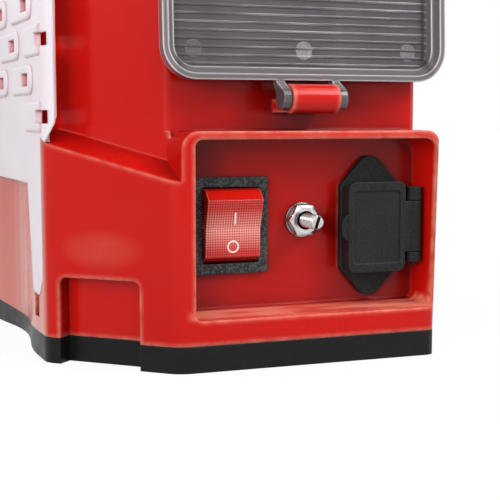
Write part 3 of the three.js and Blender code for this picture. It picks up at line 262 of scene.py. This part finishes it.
def seen_rays(tree):
    """1 for rays that show a surface or its reflection, 0 for rays that light the object."""
    light_path = tree.nodes.new("ShaderNodeLightPath")
    seen = light_path.outputs["Is Camera Ray"]
    for kind in ("Is Glossy Ray", "Is Transmission Ray"):
        larger = tree.nodes.new("ShaderNodeMath")
        larger.operation = "MAXIMUM"
        tree.links.new(seen, larger.inputs[0])
        tree.links.new(light_path.outputs[kind], larger.inputs[1])
        seen = larger.outputs[0]
    return seen


# ------------------------------------------------------------------ the cabinet's plastics
def red_plastic():
    """Glossy moulded plastic: slow waves, painted shade in the hollows and on the recess's inner
    face, painted highlights on its edges, flank, sill and long side.
    """
    made = Shader("red_shell", srgb(202, 19, 11), 0.2, Specular_IOR_Level=0.16,
                  Coat_Weight=0.25, Coat_IOR=1.25, Coat_Roughness=0.08)
    slow = made.noise(14, 2.0)
    plain = made.blend_color(made.spread(slow, 0, 1), srgb(196, 17, 10), srgb(208, 22, 13))
    # Painted shade: darker red in hollows of 16 mm reach, except on faces turned to the left, and
    # partly on the recess's inner face.
    open_side = made.spread(made.facing("X"), 1, 0, -0.5, -0.1)
    out_of_hollows = made.either(made.spread(made.hollows(16 * MM), 0, 1, 0.3, 0.8), open_side)
    open_to_light = made.both(out_of_hollows, made.spread(recess_floor(made), 1, 0.6, 0, 1))
    shaded = made.blend_color(open_to_light, srgb(118, 9, 7), plain)
    # Painted highlights and reflections: pale along the outward edges, an oval on the flank,
    # streaks on the sill and a sheen on the long side.
    painted_highlights = made.either(made.painted_edge_highlight(1.8 * MM, 1.0, 0.95), painted_flank_reflection(made),
                       painted_sill_highlight(made), painted_side_sheen(made))
    made.paint(made.blend_color(painted_highlights, shaded, srgb(242, 142, 120)))
    made.rough(made.spread(made.noise(60, 4.0), 0.16, 0.28))
    made.round_edges(1.5 * MM)
    made.bump(slow, 0.25, 0.0015)
    made.bump(made.noise(900, 2.0), 0.05, 0.0002)
    return made.material


def painted_flank_reflection(made):
    """Painted reflection: a soft pale oval on the front flank."""
    diagonal = math.sqrt(0.5)
    along = made.math("MULTIPLY", made.math("SUBTRACT", made.axis("X"), made.axis("Y")), diagonal)
    outward = made.math("MULTIPLY", made.math("ADD", made.axis("X"), made.axis("Y")), diagonal)
    distances = []
    for value, (middle, half) in ((along, PATCH_ALONG), (made.axis("Z"), PATCH_UP),
                                  (outward, PATCH_OUT)):
        offset = made.math("MULTIPLY", made.math("SUBTRACT", value, middle), 1 / half)
        distances.append(made.math("POWER", made.math("ABSOLUTE", offset), 2.0))
    total = made.math("ADD", made.math("ADD", distances[0], distances[1]), distances[2])
    return made.both(made.spread(total, 0.17, 0, 0.0, 1.3),
                     made.spread(made.noise(160, 3.0), 0.6, 1.0))


def recess_floor(made):
    """1 on the connection box's inner face, 0 elsewhere."""
    return made.both(made.spread(made.axis("Y"), 0, 1, *RECESS_FRONT),
                     made.spread(made.axis("Z"), 1, 0, *RECESS_ROOF),
                     made.spread(made.facing("Y"), 1, 0, -0.95, -0.85))


def painted_side_sheen(made):
    """A painted milky sheen on the long side's wall, stronger towards the foot."""
    return made.both(made.spread(made.facing("X"), 1, 0, -0.98, -0.9),
                     made.spread(made.axis("X"), 1, 0, *LONG_SIDE),
                     made.spread(made.axis("Z"), 0.62, 0.26, *SHEEN_HEIGHT))


def painted_sill_highlight(made):
    """Painted highlight: pale streaks drawn along the recess's lower wall."""
    strokes = made.noise(1.0, 4.0, (40, 260, 260))
    return made.both(made.spread(made.axis("Z"), 1, 0, *SILL_TOP),
                     made.spread(made.axis("Z"), 0, 1, *SILL_FOOT),
                     made.spread(made.axis("Y"), 1, 0, *SILL_BACK),
                     made.spread(made.axis("X"), 0, 1, *RECESS_LEFT),
                     made.spread(strokes, 0.25, 0.85, 0.42, 0.6))


def white_plastic():
    """White side panel with painted shade tinted by the red round it: pink in its shallow creases
    and red deep in its windows, where the red shows through its links.
    """
    made = Shader("white_panel", srgb(246, 236, 242), 0.34, Specular_IOR_Level=0.3)
    drift = made.noise(25, 3.0)
    plain = made.blend_color(made.spread(drift, 0, 1), srgb(243, 231, 239), srgb(250, 242, 248))
    # Painted shade: pink in the shallow hollows, red in the deep ones.
    open_to_light = made.hollows(3.5 * MM)
    shallow = made.spread(open_to_light, 0, 1, 0.62, 0.95)
    deep = made.spread(open_to_light, 0, 1, 0.3, 0.6)
    painted_pink_shade = made.blend_color(shallow, srgb(238, 202, 212), plain)
    made.paint(made.blend_color(deep, srgb(192, 62, 68), painted_pink_shade))
    made.rough(made.spread(made.noise(120, 3.0), 0.28, 0.4))
    made.round_edges(1.0 * MM)
    made.bump(made.noise(700, 2.0), 0.08, 0.0002)
    return made.material


def black_plastic(name, color, roughness, grain=1800.0, depth=0.2, speckle=10, shine=0.3,
                  crisp=0.0):
    """Fine-grained black plastic, a little dusty, with painted highlights on its edges.

    grain is how fine it is, depth its relief, speckle how much paler its pale grains are,
    and crisp how sharply they stand out.
    """
    made = Shader(name, srgb(*color), roughness, Specular_IOR_Level=shine)
    dust = made.noise(90, 5.0)
    grains = made.noise(grain, 2.0)
    paler = tuple(channel + speckle for channel in color)
    edge = tuple(channel + 46 for channel in color)
    sharp = made.spread(grains, 0, 0.65, 0.35 + crisp, 0.7 - crisp)
    tone = made.math("ADD", made.spread(dust, 0, 0.35, 0.45, 0.8), sharp)
    plain = made.blend_color(tone, srgb(*color), srgb(*paler))
    # Painted highlight: paler along the outward edges.
    made.paint(made.blend_color(made.painted_edge_highlight(0.6 * MM, 0.6), plain, srgb(*edge)))
    made.rough(made.spread(dust, roughness - 0.07, roughness + 0.08))
    made.round_edges(0.6 * MM)
    made.bump(grains, depth, 0.0003)
    return made.material


# ------------------------------------------------------------------ plastics of the flap and rocker
def smoked_plastic():
    """Smoked grey flap: painted highlights on the steps round its tray and broken painted highlight
    lines on its ribs.
    """
    made = Shader("smoked_flap", srgb(96, 91, 95), 0.16, Specular_IOR_Level=0.5)
    streaks = made.noise(60, 3.0, (1, 1, 0.12))
    panel = made.blend_color(made.spread(streaks, 0, 1), srgb(70, 65, 69), srgb(88, 83, 87))
    across, height = made.axis("X"), made.axis("Z")
    sides = made.either(made.spread(across, 1, 0, *FLAP_LEFT_RIM),
                        made.spread(across, 0, 1, *FLAP_RIGHT_RIM))
    above_ears = made.spread(height, 0, 1, *FLAP_EARS)
    lower_rim = made.spread(height, 0.6, 0, *FLAP_LOWER_RIM)
    rim = made.both(above_ears, made.either(sides, lower_rim))
    plain = made.blend_color(rim, panel, srgb(116, 108, 111))
    broken = made.spread(made.noise(1.0, 3.0, (28, 240, 240)), 0.0, 0.75, 0.46, 0.7)
    strength = made.both(made.either(broken, rim), made.spread(above_ears, 0.4, 1, 0, 1))
    # Painted highlights: near white along the outward edges of the rim's steps, and in broken lines
    # on the ribs.
    outward_edges = made.spread(made.hollows(0.8 * MM, inside=True), 1, 0, 0.5, 0.9)
    made.paint(made.blend_color(made.both(outward_edges, strength), plain, srgb(236, 230, 232)))
    made.rough(made.spread(made.noise(200, 3.0), 0.12, 0.24))
    made.round_edges(0.35 * MM)
    return made.material


def frosted_mark(name, light):
    """A round mark left by the mould, light or nearly as dark as the panel."""
    made = Shader(name, srgb(light, light - 5, light - 2), 0.4, Specular_IOR_Level=0.4)
    grain = made.noise(4200, 2.0)
    frost = made.spread(grain, 0, 1, 0.3, 0.7)
    made.paint(made.blend_color(frost, srgb(84, 79, 82), srgb(light, light - 5, light - 3)))
    made.bump(grain, 0.6, 0.0002)
    return made.material


def rocker_plastic():
    """Clear red plastic with a fine grid of dots under its face, a painted highlight band round its
    middle and painted highlights on its edges.
    """
    made = Shader("rocker_red", srgb(206, 30, 26), 0.14, Specular_IOR_Level=0.4)
    height = made.axis("Z")
    grid = made.math("ADD", made.waves(made.axis("X"), ROCKER_DOT_PITCH),
                     made.waves(height, ROCKER_DOT_PITCH))
    dots = made.spread(grid, 0, 1, -1.4, 0.4)
    # Painted highlight: a pale band across the face, fading away from its middle height.
    from_middle = made.math("ABSOLUTE", made.math("SUBTRACT", height, ROCKER_HIGHLIGHT))
    glow = made.spread(from_middle, 1, 0, *ROCKER_HIGHLIGHT_FADE)
    light = made.blend_color(glow, srgb(216, 50, 40), srgb(246, 168, 158))
    dark = made.blend_color(glow, srgb(140, 8, 8), srgb(186, 50, 46))
    face = made.blend_color(dots, dark, light)
    plain = made.blend_color(made.spread(height, 0, 1, *ROCKER_END), face, srgb(206, 26, 16))
    # Painted highlight along its outward edges.
    made.paint(made.blend_color(made.painted_edge_highlight(0.5 * MM, 0.9), plain, srgb(244, 176, 160)))
    made.round_edges(0.4 * MM)
    return made.material


def white_print():
    """White ink, a little rough."""
    made = Shader("white_print", srgb(244, 226, 222), 0.4)
    made.bump(made.noise(2500, 2.0), 0.1, 0.0001)
    made.rough(made.spread(made.noise(800, 2.0), 0.3, 0.5))
    return made.material


# ------------------------------------------------------------------ metals and inner parts
def metal(name, color, roughness, streak=(1, 1, 1), scale=300.0):
    """Bare metal with a fine grain, drawn out along streak."""
    made = Shader(name, srgb(*color), roughness, Metallic=1.0)
    fine = made.noise(scale, 4.0, streak)
    darker = tuple(channel * 0.82 for channel in color)
    made.paint(made.blend_color(made.spread(fine, 0, 1), srgb(*color), srgb(*darker)))
    made.rough(made.spread(fine, roughness * 0.7, roughness * 1.4))
    made.bump(fine, 0.1, 0.0001)
    return made.material


def nickel_plate():
    """Bright plate over the metal, with painted reddish shade down in the thread and round the
    foot.
    """
    made = Shader("nickel", srgb(206, 204, 202), 0.16, Metallic=1.0)
    fine = made.noise(400, 4.0)
    bright = made.blend_color(made.spread(fine, 0, 1), srgb(218, 216, 214), srgb(186, 184, 183))
    # Painted shade: dark and reddish in hollows of 1.6 mm reach.
    outside = made.spread(made.hollows(1.6 * MM), 0, 1, 0.45, 0.85)
    made.paint(made.blend_color(outside, srgb(52, 20, 18), bright))
    made.rough(made.spread(fine, 0.12, 0.26))
    made.round_edges(0.15 * MM)
    return made.material


def laminated_steel():
    """The edges of the core's sheets."""
    bare = srgb(88, 90, 94)
    made = Shader("core_steel", bare, 0.42, Metallic=0.85)
    sheets = made.waves(made.axis("Y"), SHEET_PITCH)
    rust = made.noise(70, 5.0)
    made.paint(made.blend_color(made.spread(rust, 0, 1, 0.55, 0.75), bare, srgb(110, 84, 62)))
    made.rough(made.spread(sheets, 0.35, 0.55, -1, 1))
    made.bump(sheets, 0.4, 0.0002)
    return made.material


def wound_copper():
    """Turns of enamelled wire, one under the other."""
    made = Shader("copper_wire", srgb(176, 96, 48), 0.3, Metallic=0.9,
                  Coat_Weight=0.5, Coat_Roughness=0.15)
    turns = made.waves(made.axis("Z"), WIRE_PITCH)
    made.paint(made.blend_color(made.spread(turns, 0, 1, -1, 1),
                                srgb(120, 58, 26), srgb(190, 108, 56)))
    made.bump(turns, 0.8, 0.0006)
    return made.material


def circuit_green():
    """Green board with paler lines between its copper areas."""
    made = Shader("board_green", srgb(30, 88, 50), 0.35, IOR=1.5, Coat_Weight=0.3)
    cells = made.node("ShaderNodeTexVoronoi", feature="DISTANCE_TO_EDGE")
    cells.inputs["Scale"].default_value = 160
    made.link(made.place(), cells.inputs["Vector"])
    tracks = made.spread(cells.outputs["Distance"], 0, 1, 0.05, 0.08)
    made.paint(made.blend_color(tracks, srgb(58, 120, 70), srgb(26, 80, 46)))
    made.bump(tracks, 0.2, 0.0001)
    return made.material


def tinted_lens():
    """Green indicator lens."""
    made = Shader("lens_green", srgb(52, 168, 84), 0.08, IOR=1.49,
                  Coat_Weight=0.6, Coat_Roughness=0.03)
    ribs = made.noise(500, 1.0)
    made.paint(made.blend_color(made.spread(ribs, 0, 1), srgb(40, 150, 72), srgb(70, 188, 100)))
    return made.material


def make_materials():
    """Every finish, by the name of the slot that it fills."""
    return {
        "red_shell": red_plastic(),
        "black_tray": black_plastic("black_tray", (20, 21, 20), 0.4, grain=1500.0, depth=0.25,
                                    speckle=8, shine=0.14),
        "black_grip": black_plastic("black_grip", (28, 28, 29), 0.5, grain=1100.0, depth=0.5),
        "white_panel": white_plastic(),
        "smoked_flap": smoked_plastic(),
        "switch_black": black_plastic("switch_black", (24, 27, 29), 0.5, grain=1300.0, depth=0.7,
                                      speckle=62, shine=0.25, crisp=0.1),
        "rocker_red": rocker_plastic(),
        "nickel": nickel_plate(),
        "inlet_black": black_plastic("inlet_black", (24, 25, 25), 0.5, grain=1300.0, depth=0.6,
                                     speckle=20, shine=0.16),
        "contact_brass": metal("contact_brass", (206, 174, 104), 0.24),
        "plain_steel": black_plastic("plain_steel", (16, 16, 17), 0.35, grain=900.0, depth=0.1,
                                     speckle=8, shine=0.2),
        "core_steel": laminated_steel(),
        "copper_wire": wound_copper(),
        "board_green": circuit_green(),
        "capacitor_sleeve": black_plastic("capacitor_sleeve", (26, 32, 58), 0.28, grain=400.0,
                                          depth=0.05),
        "sink_aluminium": metal("sink_aluminium", (196, 198, 200), 0.34, (1, 1, 12), 90.0),
        "fan_black": black_plastic("fan_black", (26, 26, 26), 0.38, grain=900.0, depth=0.1),
        "lens_green": tinted_lens(),
    }


materials = make_materials()
PRINT = white_print()
FROST_LIGHTS = (100, 168, 136)
FROSTS = [frosted_mark(f"frosted_mark_{i + 1}", light) for i, light in enumerate(FROST_LIGHTS)]
SCREW_STEEL = metal("screw_steel", (176, 178, 182), 0.3)


# ------------------------------------------------------------------ mesh helpers
def dress(obj, material, body):
    """Gives a piece its finish and the body that it moves with."""
    obj.data.materials.clear()
    obj.data.materials.append(material)
    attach(obj, body)


def object_of(name, mesh_builder):
    """A new object whose mesh the builder makes."""
    built = bmesh.new()
    mesh_builder(built)
    bmesh.ops.recalc_face_normals(built, faces=built.faces)
    mesh = bpy.data.meshes.new(name)
    built.to_mesh(mesh)
    built.free()
    obj = bpy.data.objects.new(name, mesh)
    scene.collection.objects.link(obj)
    return obj


def angles(count):
    """Angles evenly round a circle."""
    return [TURN * i / count for i in range(count)]


def loft(built, rings, closed_ends=True):
    """A skin over rings of points that all have the same count."""
    rows = [[built.verts.new(point) for point in ring] for ring in rings]
    for low, high in zip(rows, rows[1:]):
        count = len(low)
        for i in range(count):
            j = (i + 1) % count
            built.faces.new((low[i], low[j], high[j], high[i]))
    if closed_ends:
        built.faces.new(reversed(rows[0]))
        built.faces.new(rows[-1])


def carve(obj, cutter):
    """Cuts one mesh out of another and drops the cutter."""
    modifier = obj.modifiers.new("carve", "BOOLEAN")
    modifier.operation = "DIFFERENCE"
    modifier.solver = "EXACT"
    modifier.object = cutter
    evaluated = obj.evaluated_get(bpy.context.evaluated_depsgraph_get())
    carved = bpy.data.meshes.new_from_object(evaluated)
    obj.modifiers.clear()
    obj.data = carved
    bpy.data.objects.remove(cutter)


def stroke_outline(length, width, steps=8):
    """A straight stroke with round ends."""
    straight = length / 2 - width / 2
    points = []
    for end in (1, -1):
        for i in range(steps + 1):
            angle = math.pi * i / steps + (0 if end > 0 else math.pi)
            points.append((width / 2 * math.cos(angle),
                           end * straight + width / 2 * math.sin(angle)))
    return points


# ------------------------------------------------------------------ finishes of the solids
def finish_nodes():
    """Gives every solid the finish of its slot, and the screws bright steel."""
    for entry in frame["record"]["subparts"]:
        obj = nodes[entry["node"]]
        is_screw = entry["node"].startswith("base_screw")
        obj.data.materials.clear()
        obj.data.materials.append(SCREW_STEEL if is_screw else materials[entry["material_slot"]])


# ------------------------------------------------------------------ marks on the rocker
def on_facet(across, up, lift):
    """A point on the rocker's face, up from its valley, lift out of the face."""
    lip_y, lip_z = ROCKER_LIP
    reach = abs(up) / lip_z
    local = Vector((across, ROCKER_VALLEY + (lip_y - ROCKER_VALLEY) * reach - lift, up))
    return ROCKER_AXIS + Matrix.Rotation(ROCKER_REST, 3, "X") @ local


def mark_on(built):
    """The stroke of the on side."""
    aside, slant, middle = 0.3 * MM, -0.05, 3.3 * MM
    points = stroke_outline(4.0 * MM, 0.62 * MM)
    loft(built, [[on_facet(aside + x + slant * z, middle + z, lift) for x, z in points]
                 for lift in (0.0, PRINT_THICKNESS)])


def mark_off(built):
    """The ring of the off side."""
    middle, steps = -6.0 * MM, 40
    inner, outer = 1.5 * MM, 2.05 * MM
    rows = []
    for radius, lift in ((inner, 0.0), (inner, PRINT_THICKNESS), (outer, PRINT_THICKNESS),
                         (outer, 0.0)):
        rows.append([on_facet(radius * math.cos(a), middle + radius * math.sin(a), lift)
                     for a in angles(steps)])
    loft(built, rows + rows[:1], closed_ends=False)


# ------------------------------------------------------------------ threaded earth stud and its nut
def circle_at(y, radius_at, around):
    """A ring round the stud's axis; radius_at takes the angle."""
    x, z = STUD_MIDDLE
    points = []
    for angle in angles(around):
        radius = radius_at(angle)
        points.append(Vector((x + radius * math.cos(angle), y, z + radius * math.sin(angle))))
    return points


def make_stud():
    """A slotted stud with a metric thread, chamfered at its tip."""
    pitch, depth, roundness = 0.9 * MM, 0.45 * MM, 1.3
    chamfer, chamfer_slope = 0.5 * MM, 0.9
    per_turn, around = 8, 32
    length = STUD[1][1] - STUD_TIP
    count = int(length / pitch * per_turn)

    def thread_at(y):
        def radius_at(angle):
            phase = (y / pitch - angle / TURN) % 1.0
            here = STUD_RADIUS - depth * abs(2 * phase - 1) ** roundness
            return min(here, STUD_RADIUS - chamfer + y * chamfer_slope)
        return radius_at

    def shank(built):
        steps = [length * i / count for i in range(count + 1)]
        loft(built, [circle_at(STUD_TIP + y, thread_at(y), around) for y in steps])

    def slot(built):
        half, reach, deep = 0.55 * MM, STUD_RADIUS * 1.5, 1.3 * MM
        tilt = Matrix.Rotation(math.radians(18), 3, "Y")
        start = Vector((STUD_MIDDLE[0], STUD_TIP, STUD_MIDDLE[1]))
        corners = [(-half, -reach), (half, -reach), (half, reach), (-half, reach)]
        loft(built, [[start + tilt @ Vector((x, y, z)) for x, z in corners]
                     for y in (-deep, deep)])

    stud = object_of("threaded_stud", shank)
    carve(stud, object_of("slot_cutter", slot))
    dress(stud, materials["nickel"], "cabinet")
    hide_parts("earth_stud")


def make_nut():
    """A hexagon nut with flats top and bottom, its corners turned off in arcs."""
    flats, thickness, around = 9.8 * MM, 3.4 * MM, 72
    bore, mouth, mouth_depth = 2.5 * MM, 3.1 * MM, 0.5 * MM
    face_radius, cone, cone_depth, cone_steps = 4.3 * MM, 1.75, 1.2 * MM, 8
    sixth = TURN / 6

    def hexagon(angle):
        from_flat = (angle - math.pi / 2 + sixth / 2) % sixth - sixth / 2
        return flats / 2 / math.cos(from_flat)

    def nut(built):
        front = NUT_BACK - thickness
        rings = [circle_at(NUT_BACK, lambda angle: bore, around),
                 circle_at(NUT_BACK, hexagon, around)]
        for step in range(cone_steps, -1, -1):
            depth = cone_depth * step / cone_steps
            rings.append(circle_at(front + depth,
                                   lambda angle: min(hexagon(angle), face_radius + cone * depth),
                                   around))
        rings.append(circle_at(front, lambda angle: mouth, around))
        rings.append(circle_at(front + mouth_depth, lambda angle: bore, around))
        loft(built, rings + rings[:1], closed_ends=False)
        bmesh.ops.remove_doubles(built, verts=built.verts, dist=1e-7)

    piece = object_of("hexagon_nut", nut)
    dress(piece, materials["nickel"], "cabinet")
    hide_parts("earth_nut")


# ------------------------------------------------------------------ moulding marks in the flap
def make_flap_marks():
    """Three shallow discs with a raised rim on the inside of the flap's panel."""
    lean = Matrix.Rotation(FLAP_LEAN, 3, "X")
    around = 36
    profile = ((2.9, -0.1), (2.9, 0.12), (2.6, 0.18), (2.2, 0.1), (0.4, 0.06))  # radius, lift
    for number, across in enumerate(FLAP_MARKS):
        def disc(built):
            loft(built, [[FLAP_HINGE + lean @ Vector((across + radius * MM * math.cos(a),
                                                      FLAP_PANEL - lift * MM,
                                                      FLAP_MARK_HEIGHT + radius * MM * math.sin(a)))
                          for a in angles(around)]
                         for radius, lift in profile])
        dress(object_of(f"moulding_mark_{number + 1}", disc), FROSTS[number], "smoked_flap")


# ------------------------------------------------------------------ scale round the knob
def make_scale():
    """Short raised ticks on the cover, round the knob's turn."""
    count, first, between = 7, 60, 20        # degrees
    radius = 18.2 * MM
    sunk, top = -0.05 * MM, 0.15 * MM
    low, high = KNOB
    middle = Vector(((low[0] + high[0]) / 2, (low[1] + high[1]) / 2, COVER_TOP))
    points = stroke_outline(3.2 * MM, 0.8 * MM)
    for number in range(count):
        turn = Matrix.Rotation(math.radians(first - between * number), 3, "Z")

        def tick(built):
            loft(built, [[middle + turn @ Vector((x, y - radius, height)) for x, y in points]
                         for height in (sunk, top)])
        dress(object_of(f"scale_tick_{number + 1}", tick), PRINT, "cabinet")


# ------------------------------------------------------------------ stage
def make_floor():
    """A pale floor that looks white, keeps the object's shadow and throws little light back."""
    mesh = bpy.data.meshes.new("floor")
    corners = [(-1, -1), (1, -1), (1, 1), (-1, 1)]
    mesh.from_pydata([(x * FLOOR_REACH, y * FLOOR_REACH, 0) for x, y in corners], [],
                     [(0, 1, 2, 3)])
    floor = bpy.data.objects.new("floor", mesh)
    scene.collection.objects.link(floor)
    made = Shader("pale_floor", (FLOOR_GREY, FLOOR_GREY, FLOOR_GREY), 0.9)
    glow = made.node("ShaderNodeEmission")
    glow.inputs["Color"].default_value = (1, 1, 1, 1)
    away = made.node("ShaderNodeVectorMath", operation="LENGTH")
    made.link(made.place(), away.inputs[0])
    strength = made.spread(away.outputs["Value"], *FLOOR_GLOW, FLOOR_NEAR, FLOOR_FAR)
    made.link(strength, glow.inputs["Strength"])
    mix = made.node("ShaderNodeMixShader")
    made.link(made.math("MULTIPLY", seen_rays(made.tree), FLOOR_GLOW_SHARE), mix.inputs[0])
    made.link(made.shader.outputs[0], mix.inputs[1])
    made.link(glow.outputs[0], mix.inputs[2])
    made.link(mix.outputs[0], made.tree.nodes["Material Output"].inputs["Surface"])
    mesh.materials.append(made.material)


def make_world():
    """White where it is seen or mirrored, and only a faint light on the object."""
    world = bpy.data.worlds.new("studio")
    world.use_nodes = True
    tree = world.node_tree
    background = tree.nodes["Background"]
    background.inputs["Color"].default_value = (1, 1, 1, 1)
    strength = tree.nodes.new("ShaderNodeMapRange")
    strength.inputs["To Min"].default_value = AMBIENT
    strength.inputs["To Max"].default_value = 1.0
    tree.links.new(seen_rays(tree), strength.inputs["Value"])
    tree.links.new(strength.outputs[0], background.inputs["Strength"])
    scene.world = world


def area_light(name, toward, distance, size, power):
    """A soft box that looks at the lit point from a direction."""
    data = bpy.data.lights.new(name, "AREA")
    data.shape = "RECTANGLE"
    data.size, data.size_y = size
    data.energy = power
    light = bpy.data.objects.new(name, data)
    toward = Vector(toward).normalized()
    light.location = LIT_POINT + toward * distance
    light.rotation_euler = toward.to_track_quat("Z", "Y").to_euler()
    scene.collection.objects.link(light)
    return light


def make_lights():
    """Two crossed lights on the front, strips for the edges, and two soft ones behind."""
    small, large, lying, upright = (0.35, 0.35), (0.6, 0.6), (0.5, 0.1), (0.1, 0.3)
    area_light("key", (0.55, -0.6, 0.66), 0.9, small, 5.0)
    area_light("front", (-0.12, -0.8, 0.58), 0.9, small, 1.2)
    area_light("side", (-0.86, -0.32, 0.4), 0.8, (0.3, 0.3), 1.7)
    left_front = area_light("left_front", (-0.7, -0.7, 0.14), 0.9, small, 3.6)
    left_front.visible_glossy = False        # the cover would mirror it
    area_light("top", (0.0, 0.3, 1.0), 1.4, (1.2, 1.2), 0.8)
    area_light("edge_strip", (0.3, -0.4, 0.87), 0.9, lying, 1.2)
    area_light("back", (-0.45, 0.8, 0.4), 1.0, large, 1.6)
    area_light("back_right", (0.85, 0.45, 0.35), 1.0, large, 1.6)
    area_light("right_strip", (0.85, -0.5, 0.04), 0.8, upright, 0.7)


def make_camera():
    """The camera, low in front of the connection box and to its left."""
    data = bpy.data.cameras.new("camera")
    data.sensor_width = SENSOR_WIDTH
    data.lens = FOCAL_PIXELS / FRAME_PIXELS * SENSOR_WIDTH
    camera = bpy.data.objects.new("camera", data)
    camera.location = CAMERA_PLACE
    camera.rotation_euler = (math.pi / 2 + CAMERA_PITCH, 0, -CAMERA_HEADING)
    scene.collection.objects.link(camera)
    scene.camera = camera


finish_nodes()
dress(object_of("mark_on", mark_on), PRINT, "switch_rocker")
dress(object_of("mark_off", mark_off), PRINT, "switch_rocker")
make_stud()
make_nut()
make_flap_marks()
make_scale()

make_floor()
make_world()
make_lights()
make_camera()
scene.view_settings.view_transform = "Standard"
